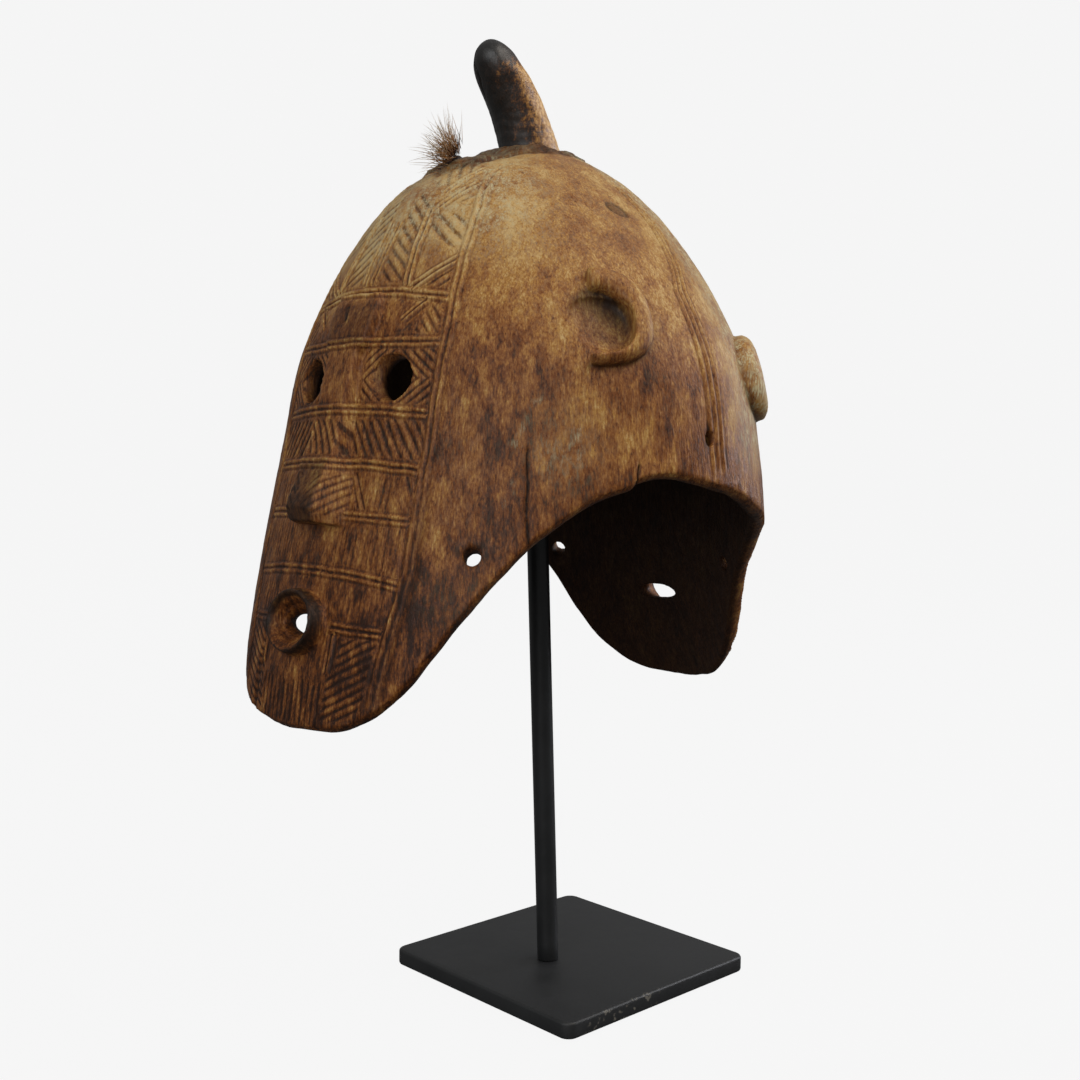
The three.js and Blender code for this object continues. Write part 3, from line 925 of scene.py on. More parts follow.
    def noses(self, bm: bmesh.types.BMesh) -> None:
        """Forehead block and nose in one tapering form, on both faces.

        Args:
            bm: the mesh that gets them.
        """
        rows = np.array(self.nose, float)
        foot, top, proud = (partial(np.interp, xp=rows[:, 0], fp=rows[:, c]) for c in (1, 2, 3))
        low, high = rows[0, 0], rows[-1, 0]
        over, back = 0.7, 0.3  # shares of u across the nose and back under the skin
        for side in Side:
            def place(u: np.ndarray, v: np.ndarray) -> np.ndarray:
                """Lays a nose.

                Args:
                    u: across the nose and back under the skin, 0 to 1.
                    v: upward, 0 to 1.

                Returns:
                    Positions (N, 3), mm.
                """
                z = low + (high - low) * np.clip((v - 0.02) / 0.96, 0, 1)
                open_part = (v > 0.01) & (v < 0.99)
                s = np.where(u > over, 1 - 2 * (u - over) / back, u / over * 2 - 1)
                slope = np.clip((1.0 - np.abs(s)) / (1.0 - top(z) / foot(z)), 0, 1)
                out = -2.5 + (proud(z) + 2.5) * slope
                under = np.clip((u - over) / back, 0, 1)
                out = np.where(u > over, -2.5 - np.sin(under * math.pi), out)
                out = np.where(open_part, out, -1.0)
                x = foot(z) * s * open_part
                return DOME.off(DOME.face_angle(x, z, side), z, out)

            lay_grid(bm, 60, 100, place)

    def ears(self, bm: bmesh.types.BMesh) -> None:
        """Raised half-rings, each open toward its own face.

        Args:
            bm: the mesh that gets them.
        """
        for side, zc, tallness in zip(Side, self.ear_z, self.ear_rise):
            middle = 1.0 - 0.5 * self.ear_thick / tallness
            width = 0.62 * self.ear_thick / tallness
            for hand in (1, -1):
                def place(u: np.ndarray, v: np.ndarray) -> np.ndarray:
                    """Lays the arm of an ear.

                    Args:
                        u: round the arm's section, 0 to 1.
                        v: along the half-ring, 0 to 1.

                    Returns:
                        Positions (N, 3), mm.
                    """
                    start, end = self.ear_arc
                    turn = np.radians(start + (end - start) * np.clip((v - 0.03) / 0.94, 0, 1))
                    fade = np.interp(v, (0, 0.016, 0.04, 0.96, 0.984, 1), (0, 0.7, 1, 1, 0.7, 0))
                    rise = self.ear_proud - self.ear_tip
                    tall = self.ear_tip + rise * np.cos(turn * 0.85) ** 2
                    up, over = np.sin(u * 2 * math.pi), np.cos(u * 2 * math.pi)
                    spread = width * np.where(over > 0, 1.0 + 0.5 * np.maximum(-up + 0.4, 0), 1.0)
                    scale = middle + spread * over * fade * (1.0 - 0.18 * np.maximum(up, 0.0))
                    out = np.where(up > 0, tall * np.abs(up) ** 0.36, -4 * np.abs(up)) * fade
                    back, lift = (signed_power(part, self.ear_power)
                                  for part in (np.cos(turn), np.sin(turn)))
                    angle = self.ear_angle + self.ear_span * scale * back
                    real = hand * self.from_front(side, angle)
                    return DOME.off(real, zc + tallness * scale * lift, out)

                lay_grid(bm, 32, 64, place)

    @staticmethod
    def crust_wave(turn: np.ndarray) -> np.ndarray:
        """How far the mound's outline swells in and out round the crown."""
        return 1 + 0.07 * np.sin(5 * turn + 1) + 0.05 * np.sin(9 * turn + 2.4)

    def crown_crust(self, bm: bmesh.types.BMesh) -> None:
        """Low uneven mound of resin and hide over the crown.

        Args:
            bm: the mesh that gets it.
        """
        y0, rx, ry, rise = self.crust
        steps = np.arange(7)
        scales = (0, 1, 0.93, 0.8, 0.5, 0.2, 0)
        lifts = (-9, -2.5, 0.5, 1.1, 1.0, 1.0, 1.0)
        heights = np.linspace(300, CROWN_Z, 4000)
        across, ahead = DOME.axes(heights, True)
        behind = DOME.axes(heights, False)[1]

        def place(u: np.ndarray, v: np.ndarray) -> np.ndarray:
            """Lays the mound.

            Args:
                u: round the mound, 0 to 1.
                v: from its sunk edge to its top, 0 to 1.

            Returns:
                Positions (N, 3), mm.
            """
            k = v * steps[-1]
            scale, lift = np.interp(k, steps, scales), np.interp(k, steps, lifts)
            t = u * 2 * math.pi
            wave = self.crust_wave(t)
            px, py = rx * scale * np.cos(t) * wave, y0 + ry * scale * np.sin(t) * wave
            turn, reach = np.arctan2(px, -py), np.hypot(px, py)
            z = np.empty(len(u))
            for i, (a, far) in enumerate(zip(turn, reach)):
                along = ahead if math.cos(a) > 0 else behind
                section = 1.0 / np.hypot(math.sin(a) / across, math.cos(a) / along)
                z[i] = np.interp(-far, -section, heights)
            z += np.where(lift > 0, rise * lift, lift)
            z = np.where(v <= 0, CROWN_Z + lifts[0], z)
            return np.stack([reach * np.sin(turn), AXIS_Y - reach * np.cos(turn), z], axis=1)

        lay_grid(bm, 72, 24, place)

    def cutters(self, horn: "CrownHorn") -> bmesh.types.BMesh:
        """Everything that is cut away: eyes, mouths, holes, ear bowls, the horn's seat.

        Args:
            horn: the horn, whose seat is cut in the crown.

        Returns:
            The forms to cut with, in mm.
        """
        bm = bmesh.new()
        ex, ez, rx, rz = self.eye
        hx, hz, shift = self.eye_hole
        for side, ear_z in zip(Side, self.ear_z):
            self.turned(bm, self.on_face(0.0, self.mouth_z, side), self.funnel)
            for hand in (1, -1):
                out = shift * hand * side.value
                self.turned(bm, self.on_face(hand * ex, ez, side), (
                    (rx + 2.4, rz + 2.2, 3), (rx + 0.4, rz + 0.4, 0),
                    (rx - 2.2, rz - 1.0, -2.5, out * 0.4), (hx + 0.3, hz, -5, out),
                    (hx, hz, -15, out)))
                turn = hand * self.from_front(side, self.bowl_angle)
                wide, tall, deep, back, lift = self.bowl
                level = self.frame(turn, ear_z - self.bowl_drop)
                back *= hand * side.value

                def leaning(du: np.ndarray, dv: np.ndarray, dn: np.ndarray) -> np.ndarray:
                    """The bowl's axes, tipped so that its floor rises toward the open side."""
                    return level(du, dv, dn - back * du - lift * dv)

                floor = [(wide * math.cos(a) ** 0.45, tall * math.cos(a) ** 0.45,
                          1.6 + deep * math.sin(a)) for a in np.linspace(-1.45, 0, 7)]
                past_arm = (wide + 0.6, tall + 0.6, 14.0)  # straight out through the ear's arm
                self.turned(bm, leaning, floor + [past_arm], power=self.ear_power)
        holes = [(a, z, r, r) for a, z, r in self.cord_holes] + [self.side_hole]
        for angle, z, across, up in holes:
            for hand in (1, -1):
                self.turned(bm, self.frame(hand * angle, z), (
                    (across + 1.4, up + 1.4, 3), (across + 0.5, up + 0.5, 0), (across, up, -1.6),
                    (across, up, -6, 0, -1.8), (across + 0.8, up + 0.8, -14, 0, -4.5)), 32)
        seat = horn.base_radius + 0.45

        def upright(du: np.ndarray, dv: np.ndarray, dn: np.ndarray) -> np.ndarray:
            """Axes of the horn's seat, leaning forward as the horn does."""
            return np.stack([du, horn.middle_y + dv - 0.42 * (dn - horn.seat_z), dn], axis=1)

        self.turned(bm, upright, ((seat, seat, horn.seat_z - 0.4), (seat, seat, horn.seat_z + 9)))
        return close_up(bm)

    def build(self, horn: "CrownHorn") -> bpy.types.Object:
        """Builds the mask's mesh and its attributes.

        Args:
            horn: the horn, whose seat is cut in the crown.

        Returns:
            The mask, a finished piece without a material.
        """
        noise = Noise(17)
        body = mesh_object(self.node + "_carved", self.shell(noise), 1.0)
        extra = bmesh.new()
        self.noses(extra)
        self.ears(extra)
        for side in Side:
            place = self.on_face(0.0, self.mouth_z, side)
            self.turned(extra, place, [(r * self.ring_stretch, r, d) for r, d in self.ring])
        self.crown_crust(extra)
        joined = mesh_object("joined", close_up(extra), 1.0)
        cut = mesh_object("cut", self.cutters(horn), 1.0)
        modified(body, "BOOLEAN", operation="UNION", object=joined, solver="MANIFOLD")
        modified(body, "BOOLEAN", operation="DIFFERENCE", object=cut, solver="MANIFOLD")
        LOG.info("mask joined and cut: %d faces", len(body.data.polygons))
        for helper in (joined, cut):
            mesh = helper.data
            bpy.data.objects.remove(helper)
            bpy.data.meshes.remove(mesh)
        voxel = self.voxel * 1.0
        modified(body, "REMESH", mode="VOXEL", voxel_size=voxel)
        modified(body, "SMOOTH", factor=0.5, iterations=1)
        LOG.info("mask remeshed: %d vertices", len(body.data.vertices))
        points = vectors(body.data.vertices, "co")
        normals = vectors(body.data.vertex_normals, "vector")
        points = self.carve(points, normals, noise)
        body.data.vertices.foreach_set("co", points.astype(np.float32).ravel())
        faces = 2 * len(body.data.polygons)
        modified(body, "DECIMATE", decimate_type="COLLAPSE", use_collapse_triangulate=True,
                 ratio=min(1.0, self.triangles / faces))
        LOG.info("mask thinned: %d triangles", len(body.data.polygons))
        self.dress(body.data, noise)
        spots = vectors(body.data.vertices, "co") * MM
        body.data.vertices.foreach_set("co", spots.astype(np.float32).ravel())
        body.data.polygons.foreach_set("use_smooth", np.ones(len(body.data.polygons), bool))
        body.data.update()
        return body

    def zones(self, points: np.ndarray,
              away: np.ndarray) -> tuple[np.ndarray, np.ndarray]:
        """Weights of the carved outside and of the inside at points.

        Args:
            points: positions (N, 3), mm.
            away: distance outside the dome, mm.

        Returns:
            Weights (N,) of the outside that carries carving, and of the inside.
        """
        x, z = np.abs(points[:, 0]), points[:, 2]
        ring = smoothstep(20.0, 18.0, np.hypot(x / self.ring_stretch, z - self.mouth_z))
        nose = (x < 23) & (z > 279) & (z < 400)
        flush = np.where(nose, 1.0, smoothstep(2.6, 1.2, away))
        outer = smoothstep(-2.6, -1.2, away) * flush * (1 - ring)
        return outer, smoothstep(-4.5, -6.5, away)

    def faces(self, points: np.ndarray, noise: Noise) -> Relief:
        """The carving of both faces at points, as one.

        Args:
            points: positions (N, 3), mm.
            noise: makes the hand-cut unevenness.

        Returns:
            Each point's carving, from the face it is on.
        """
        parts = {s: FaceCarving(s).relief(points[:, 0], points[:, 2], noise) for s in Side}
        front = points[:, 1] < AXIS_Y
        names = ("height", "cycle", "hatch", "line_at", "line_on")
        return Relief(*(np.where(front, getattr(parts[Side.FRONT], n), getattr(parts[Side.BACK], n))
                        for n in names))

    def splits(self, angle: np.ndarray, points: np.ndarray,
               noise: Noise) -> tuple[np.ndarray, np.ndarray]:
        """Depth of the cracks in mm and their darkness.

        Args:
            angle: degrees round the axis.
            points: positions (N, 3), mm.
            noise: bends the cracks.

        Returns:
            Depths and darkness from 0 to 1.
        """
        deep, dark = np.zeros(len(points)), np.zeros(len(points))
        bend = 0.8 * noise.at(points, 7.0)
        radius = np.hypot(points[:, 0], points[:, 1] - AXIS_Y)
        for crack in self.cracks:
            middle = crack.path[len(crack.path) // 2]
            reach = float(np.hypot(*(DOME.point(*middle)[:2] - (0, AXIS_Y)))) * math.pi / 180.0
            path = [(a * reach, b) for a, b in crack.path]
            u, over = FaceCarving.along(path, angle * reach, points[:, 2])
            on = bump(u + bend, crack.width) * smoothstep(3.0, 0.0, over) * (radius > 20)
            deep += crack.depth * on
            dark = np.maximum(dark, smoothstep(0.1, 0.7, on))
        return deep, dark

    def plug_level(self, angle: np.ndarray, z: np.ndarray) -> np.ndarray:
        """How far out of the oval plug a point is, 1 on its outline.

        Args:
            angle: degrees round the axis.
            z: heights, mm.

        Returns:
            0 in its middle, 1 on its outline, more outside.
        """
        turn, height, long, wide, tilt = self.plug
        u, v = (angle - turn) * self.plug_degree, z - height
        a, b = u * math.cos(tilt) + v * math.sin(tilt), v * math.cos(tilt) - u * math.sin(tilt)
        return np.hypot(a / long, b / wide)

    def side_lines(self, angle: np.ndarray, z: np.ndarray) -> np.ndarray:
        """Signed distance in mm from the middle of the upright lines on a flank."""
        drift = np.interp(z, (300, 400, 415, 435, 462), (89.3, 89.3, 92.5, 95.5, 98))
        return (np.abs(angle) - drift) * self.flank_degree

    @staticmethod
    def flank_span(z: np.ndarray) -> np.ndarray:
        """Weight of the heights that carry a flank's upright lines."""
        return smoothstep(304, 314, z) * smoothstep(466, 456, z)

    def carve(self, points: np.ndarray, normals: np.ndarray, noise: Noise) -> np.ndarray:
        """Moves the skin of the mask to cut its carving.

        Args:
            points: positions (N, 3), mm.
            normals: outward normals (N, 3).
            noise: makes the hand-cut unevenness.

        Returns:
            The new positions.
        """
        away, direction = DOME.gauge(points)
        on_dome = (np.abs(away) < 0.8) & (points[:, 2] < CROWN_Z - 3)
        points = points - direction * (away * on_dome)[:, None] * 0.9
        outer, inside = self.zones(points, away)
        angle = np.degrees(np.arctan2(points[:, 0], AXIS_Y - points[:, 1]))
        z = points[:, 2]
        height = self.faces(points, noise).height * outer
        u = self.side_lines(angle, z) + 0.5 * noise.at(points, 12.0)
        three = sum(bump(u - k * self.flank_pitch, 0.95) for k in (-1, 0, 1))
        trough = sum(bump(u - k * self.flank_pitch / 2, 0.9) for k in (-3, -1, 1, 3))
        height += (0.75 * three - 0.3 * trough) * self.flank_span(z) * outer
        height -= self.splits(angle, points, noise)[0] * smoothstep(-3, -1, away)
        height -= 0.8 * bump(self.plug_level(angle, z) - 1.0, 0.2) * outer
        crust = self.crust_weight(points) * smoothstep(-4, -2, away)
        height += crust * (0.9 * noise.layered(points, 4.5, 2) + 0.7 * noise.at(points, 11.0))
        # a dent in the crown in front of the horn and a swelling behind it
        along = points[:, 1] - AXIS_Y
        top = smoothstep(448, 458, z) * smoothstep(-4, -2, away)
        height -= 4.6 * bump(np.hypot(points[:, 0] / 26, (along + 34) / 10), 1.0) * top
        height += 3.0 * bump(np.hypot((points[:, 0] - 10) / 16, (along - 43) / 11), 1.0) * top
        marks = 0.22 * noise.at(points, (9.0, 9.0, 16.0)) + 0.12 * noise.at(points + 9.0, 3.6)
        marks += inside * 0.5 * noise.at(points, (10.0, 10.0, 22.0))
        return points + direction * height[:, None] + normals * marks[:, None]

    def crust_weight(self, points: np.ndarray) -> np.ndarray:
        """Weight of the resin mound on the crown.

        Args:
            points: positions (N, 3), mm.

        Returns:
            Weights (N,), 1 on the mound.
        """
        y0, rx, ry, _ = self.crust
        across, along = points[:, 0] / rx, (points[:, 1] - AXIS_Y - y0) / ry
        t = np.arctan2(along, across)
        near = smoothstep(1.04, 0.9, np.hypot(across, along) / self.crust_wave(t))
        return near * smoothstep(440, 455, points[:, 2])

    @staticmethod
    def trail_gap(trail: Sequence[Sequence[float]], size: np.ndarray, z: np.ndarray) -> np.ndarray:
        """Measures how far, in mm, points lie from a path of angles and heights on the dome.

        Args:
            trail: (degrees from the front, height in mm) points of the path.
            size: degrees of the points from the front, either way round.
            z: their heights, mm.

        Returns:
            Distances (N,), mm.
        """
        at = np.stack([size * MaskBody.scratch_degree, z], axis=1)
        path = np.array(trail, float) * (MaskBody.scratch_degree, 1.0)
        gaps = []
        for start, end in zip(path, path[1:]):
            run = end - start
            share = np.clip((at - start) @ run / (run @ run), 0, 1)
            gaps.append(np.linalg.norm(at - start - share[:, None] * run, axis=1))
        return np.minimum.reduce(gaps)

    def aged(self, points: np.ndarray, size: np.ndarray, noise: Noise) -> np.ndarray:
        """How dark age, smoke and handling have made the wood.

        Args:
            points: positions (N, 3), mm.
            size: degrees from the front, either way round.
            noise: makes the edges of the stains uneven.

        Returns:
            Age (N,), about 0.3 on the pale crown and 0.8 on the darkest wood.
        """
        x, z = points[:, 0], points[:, 2]
        below = z - Monotone(self.age_line)(size)
        below += 16.0 * noise.layered(points, (22.0, 22.0, 30.0), 2)
        age = 0.33 + 0.27 * smoothstep(50.0, -50.0, below)
        age += 0.19 * smoothstep(300.0, 230.0, z) * smoothstep(75, 25, size)
        for turn, height, wide, tall, change in self.stains:
            age += change * bump((size - turn) / wide, 1.0) * bump((z - height) / tall, 1.0)
        brow = smoothstep(371, 376, z) * smoothstep(395, 390, z)
        age += 0.16 * brow * smoothstep(52, 20, x) * smoothstep(-24, -8, x)
        age -= 0.05 * smoothstep(345.0, 320.0, z) * smoothstep(50, 30, size)
        age += 0.3 * self.crust_weight(points)
        return age - 0.11 * smoothstep(72, 40, size) * smoothstep(398.0, 425.0, z)

    def ear_painted_shadow_and_dirt(self, size: np.ndarray, z: np.ndarray, away: np.ndarray) -> list[np.ndarray]:
        """Painted shadow in the ears' bowls, painted shade and dirt along the outer foot of their
        arms.

        Args:
            size: degrees from the front, either way round.
            z: heights, mm.
            away: distance outside the dome, mm.

        Returns:
            Darkness from 0 to 1, two arrays (N,) for each ear.
        """
        shades = []
        for side, ear_z in zip(Side, self.ear_z):
            middle = self.from_front(side, self.bowl_angle + 1.0)
            a = (size - middle) * side.value * self.ear_degree / self.bowl[0]
            b = (z - ear_z + 2.4) / self.bowl[1]  # the painted shadow lies above the bowl's middle, under the upper arm
            # painted shadow in the bowl, darkest under the upper arm and toward the back
            bowl = smoothstep(1.1, 0.9, np.hypot(a, b)) * smoothstep(2.5, 0.5, away)
            shades.append(bowl * np.clip(0.4 + 0.5 * a + 0.6 * b, 0.0, 0.95))
            c = (size - self.from_front(side, self.ear_angle)) * side.value / self.ear_span
            d = (z - ear_z) / self.ear_rise[0]
            level = (np.abs(c) ** 2.56 + np.abs(d) ** 2.56) ** 0.39  # squarish, as the ears are
            # painted shade with some dirt along the arm's outer foot, darker at its lower end
            foot = bump(level - 1.06, 0.07) * smoothstep(-0.25, 0.0, c) * smoothstep(3.0, 1.5, away)
            shades.append(foot * (0.12 + 0.55 * smoothstep(0.2, -0.8, d)))
        return shades

    def darkened(self, points: np.ndarray, away: np.ndarray, outer: np.ndarray,
                 noise: Noise) -> np.ndarray:
        """Black dirt and soot in cracks, on the lips, nose and crust; painted shade in and round
        the ears.

        Args:
            points: positions (N, 3), mm.
            away: distance outside the dome, mm.
            outer: weight of the carved outside.
            noise: bends the cracks.

        Returns:
            Darkness (N,) from 0 to 1.
        """
        x, z = points[:, 0], points[:, 2]
        angle = np.degrees(np.arctan2(x, AXIS_Y - points[:, 1]))
        plug = self.plug_level(angle, z)
        border = np.abs(x) - Monotone(FaceCarving.border)(z)
        radius = np.hypot(x / self.ring_stretch, z - self.mouth_z)
        lip = smoothstep(12.4, 13.6, radius) * smoothstep(18.2, 16.8, radius) * (z < 260)
        tip = smoothstep(7.0, 8.5, away) * smoothstep(12, 9.5, np.abs(x)) * (z > 270)
        tip = tip * smoothstep(318, 308, z) * (0.7 + 0.3 * smoothstep(298, 293, z))
        brow = smoothstep(2.5, 4.5, away) * smoothstep(369, 374, z) * smoothstep(396, 389, z)
        return np.maximum.reduce([
            self.splits(angle, points, noise)[1],
            0.8 * bump(plug - 1.0, 0.22),
            0.45 * smoothstep(1.0, 0.8, plug),
            # darker along the hollow beside the face's border, on the lower face
            0.3 * bump(border - 4.2, 3.2) * smoothstep(318, 268, z) * outer,
            0.6 * self.crust_weight(points),
            # darker on every surface sunk more than 1.2 mm below the outer skin
            0.4 * smoothstep(-1.2, -3.0, away),
            0.92 * lip * smoothstep(1.5, 3.5, away),
            0.8 * tip,
            0.35 * brow * (np.abs(x) < 22),
            # painted shadow in the ears' bowls and painted shade with some dirt at their feet
            *self.ear_painted_shadow_and_dirt(np.abs(angle), z, away)])

    def scuffs_and_sheen(self, points: np.ndarray, size: np.ndarray, noise: Noise) -> np.ndarray:
        """Pale dust on the crown, a painted sheen on the back, rubbed spots and scratches.

        Args:
            points: positions (N, 3), mm.
            size: degrees from the front, either way round.
            noise: roughens the scratches.

        Returns:
            Paleness (N,), 0 for none and over 1 where it is thick.
        """
        x, z = points[:, 0], points[:, 2]
        scuff_and_sheen = 0.5 * bump(size - 55, 6.0) * bump(z - 318, 16.0)
        # painted sheen: beyond about 92 degrees from the front the back is paler and greyer, as if
        # glazed by light from behind
        scuff_and_sheen += 1.5 * smoothstep(92, 106, size) * smoothstep(300, 330, z)
        scuff_and_sheen += (0.25 + 0.95 * smoothstep(64, 36, size)) * smoothstep(400, 445, z)
        for trail in self.scratches:
            off = self.trail_gap(trail, size, z) + 0.5 * noise.at(points, 2.5)
            scuff_and_sheen += 0.8 * smoothstep(1.1, 0.3, off)
        scuff_and_sheen += 0.12 * bump(size - 36, 9) * bump(z - 248, 12)
        return scuff_and_sheen + 0.7 * bump(x + 8, 8) * bump(z - 418, 12) * (points[:, 1] < AXIS_Y)

    def dress(self, mesh: bpy.types.Mesh, noise: Noise) -> None:
        """Keeps what the finish needs on the mesh as attributes.

        Args:
            mesh: the carved mesh, still in mm.
            noise: the same noise that cut the carving.
        """
        points = vectors(mesh.vertices, "co")
        away, _ = DOME.gauge(points)
        outer, inside = self.zones(points, away)
        relief = self.faces(points, noise)
        z = points[:, 2]
        angle = np.degrees(np.arctan2(points[:, 0], AXIS_Y - points[:, 1]))
        u = self.side_lines(angle, z)
        flank = self.flank_span(z) * smoothstep(9.0, 7.0, np.abs(u))
        fields = {
            "age": np.clip(self.aged(points, np.abs(angle), noise), 0, 1.2),
            "dark": self.darkened(points, away, outer, noise),
            "scuff_and_sheen": self.scuffs_and_sheen(points, np.abs(angle), noise), "inside": inside,
            "cycle": relief.cycle, "hatch": relief.hatch * outer,
            "line_at": relief.line_at, "line_on": relief.line_on * outer,
            "flank_at": np.clip(u, -12, 12), "flank_on": flank * outer,
        }
        for name, values in fields.items():
            store(mesh, name, values)


@dataclass(frozen=True)
class CrownHorn:
    """The horn set on the crown, leaning forward to a rounded tip."""

    node: str = "horn"
    seat_z: float = 487.0
    middle_y: float = AXIS_Y + 3.5
    stations: tuple = (  # height, forward shift, radius
        (0, 0, 18), (10, -4.3, 17.3), (20, -9.1, 16.8), (30, -15.2, 16.4), (38, -21, 15.8),
        (45, -25.7, 14), (50.5, -27.8, 11.6), (55, -29.3, 7), (57.2, -30, 2.5), (57.6, -30, 0))
    squash: float = 0.97
    base_radius: float = 18.0
    split_at: float = 4.35  # where the split runs, radians round the horn

    def build(self) -> bpy.types.Object:
        """Builds the horn with its growth rings, flutes and split.

        Returns:
            The horn, a finished piece without a material.
        """
        noise = Noise(5)
        table = np.array(self.stations, float)
        steps = np.hypot(np.diff(table[:, 0]), np.diff(table[:, 2]))
        run = np.concatenate([[0], np.cumsum(steps)])
        curves = [Monotone(np.stack([run, table[:, c]], axis=1)) for c in range(3)]

        def place(u: np.ndarray, v: np.ndarray) -> np.ndarray:
            """Lays the horn.

            Args:
                u: round the horn, 0 to 1.
                v: from the middle of its foot to its tip, 0 to 1.

            Returns:
                Positions (N, 3), mm.
            """
            s = np.clip((v - 0.06) / 0.94, 0, 1) * run[-1]
            z, shift, r = (c(s) for c in curves)
            r = r * np.clip(v / 0.06, 0, 1)
            turn = u * 2 * math.pi
            ring = np.stack([12 * np.cos(turn), 12 * np.sin(turn), z], axis=1)
            uneven = 0.55 * noise.layered(ring, (8.0, 8.0, 16.0), 3)
            uneven += 0.07 * np.sin(z * 1.25 + 2.4 * noise.at(ring, 12.0)) * smoothstep(30, 8, z)
            split = bump((turn - self.split_at + 0.08 * noise.at(ring, 4.0)) * r, 0.7)
            split *= smoothstep(24, 34, z)
            easing = np.clip(r / 8.0, 0, 1) * smoothstep(0.0, 0.5, z)
            r = r + (uneven - 1.5 * split - 0.35) * easing
            return np.stack([self.squash * r * np.cos(turn),
                             self.middle_y + shift + r * np.sin(turn), self.seat_z + z], axis=1)

        bm = bmesh.new()
        lay_grid(bm, 120, 130, place)
        horn = mesh_object(self.node + "_grown", close_up(bm))
        points = vectors(horn.data.vertices, "co") / MM
        z = points[:, 2] - self.seat_z
        centre = self.middle_y + np.interp(z, table[:, 0], table[:, 1])
        turn = np.arctan2(points[:, 1] - centre, points[:, 0]) % (2 * math.pi)
        # painted light: how far each point faces the lamps at the right and back, which the finish
        # makes paler
        lit = (points[:, 0] * 0.69 + (points[:, 1] - centre) * 0.73) / 16.5
        split = bump((turn - self.split_at) * 14, 0.9) * smoothstep(24, 34, z)
        flaw = bump(z - 49.5 - 2.5 * lit, 0.45) * smoothstep(-0.1, 0.1, lit)
        flaw = flaw * (points[:, 1] < centre)
        store(horn.data, "split", np.maximum(split, flaw))
        store(horn.data, "lit_side", lit)
        store(horn.data, "tip", smoothstep(40, 50, z))
        return horn


@dataclass(frozen=True)
class HairTuft:
    """The tuft of animal hair that is stuck on the crown in front of the horn."""

    node: str = "fur_tuft"
    root: tuple = (0.0, AXIS_Y - 53.5, 476.6)
    tilt: float = 1.0
    strands: int = 260
    longest: float = 26.0
    thickness: float = 0.2

    def build(self) -> bpy.types.Object:
        """Builds the strands and the clump they grow from.

        Returns:
            The tuft, a finished piece without a material.
        """
        rng = np.random.default_rng(23)
        axis = np.array([0.0, -math.sin(self.tilt), math.cos(self.tilt)])
        along = np.array([0.0, math.cos(self.tilt), math.sin(self.tilt)])
        side = np.array([1.0, 0.0, 0.0])
        root = np.array(self.root)
        bm = bmesh.new()
        shades = []
        for _ in range(self.strands):
            a, b = rng.normal(0, 1.0, 2)
            start = root + side * (1.8 * a) + along * (3.4 * b) + axis * rng.uniform(-1.5, 0.5)
            aside, ahead = 0.15 * a + rng.normal(0, 0.16), 0.3 * b + rng.normal(0, 0.3)
            way = axis + side * aside + along * ahead
            way /= np.linalg.norm(way)
            bend = side * rng.normal(0, 3.4) + along * rng.normal(0, 4.4) - np.array([0, 0, 0.8])
            length = self.longest * rng.uniform(0.3, 1.0) * (1.0 - 0.12 * abs(ahead))
            thick = self.thickness * rng.uniform(0.7, 1.2)
            first = np.cross(way, (0.3, 0.9, 0.2))
            first /= np.linalg.norm(first)
            second = np.cross(way, first)

            def place(u: np.ndarray, v: np.ndarray) -> np.ndarray:
                """Lays a strand.

                Args:
                    u: round the strand, 0 to 1.
                    v: from its root to its tip, 0 to 1.

                Returns:
                    Positions (N, 3), mm.
                """
                middle = start + way * (length * v)[:, None] + bend * (v**2.2)[:, None]
                turn = u * 2 * math.pi
                r = thick * ((1.0 - v) ** 0.6 * 0.9 + 0.1) * ((v > 0) & (v < 1))
                return (middle + first * (r * np.cos(turn))[:, None]
                        + second * (r * np.sin(turn))[:, None])

            before = len(bm.verts)
            lay_grid(bm, 4, 6, place)
            shades += [rng.uniform()] * (len(bm.verts) - before)
        noise = Noise(3)

        def clump(u: np.ndarray, v: np.ndarray) -> np.ndarray:
            """Lays the lump of resin at the strands' roots.

            Args:
                u: round the lump, 0 to 1.
                v: from below to its top, 0 to 1.

            Returns:
                Positions (N, 3), mm.
            """
            turn, up = u * 2 * math.pi, (v - 0.5) * math.pi
            spot = np.stack([np.cos(up) * np.cos(turn), np.cos(up) * np.sin(turn), np.sin(up)],
                            axis=1)
            spot *= (1.0 + 0.25 * noise.at(spot * 10, 4.0))[:, None]
            return (root + side * (4.4 * spot[:, :1]) + along * (4.8 * spot[:, 1:2] - 2.0)
                    + axis * (2.0 * spot[:, 2:] - 2.4))

        before = len(bm.verts)
        lay_grid(bm, 48, 30, clump)
        shades += [0.1] * (len(bm.verts) - before)
        layer = bm.verts.layers.float.new("strand")
        for vert, shade in zip(bm.verts, shades):
            vert[layer] = shade
        tuft = mesh_object(self.node + "_hair", close_up(bm, 1e-4))
        points = vectors(tuft.data.vertices, "co") / MM
        store(tuft.data, "reach", np.clip((points - root) @ axis / self.longest, 0, 1))
        return tuft


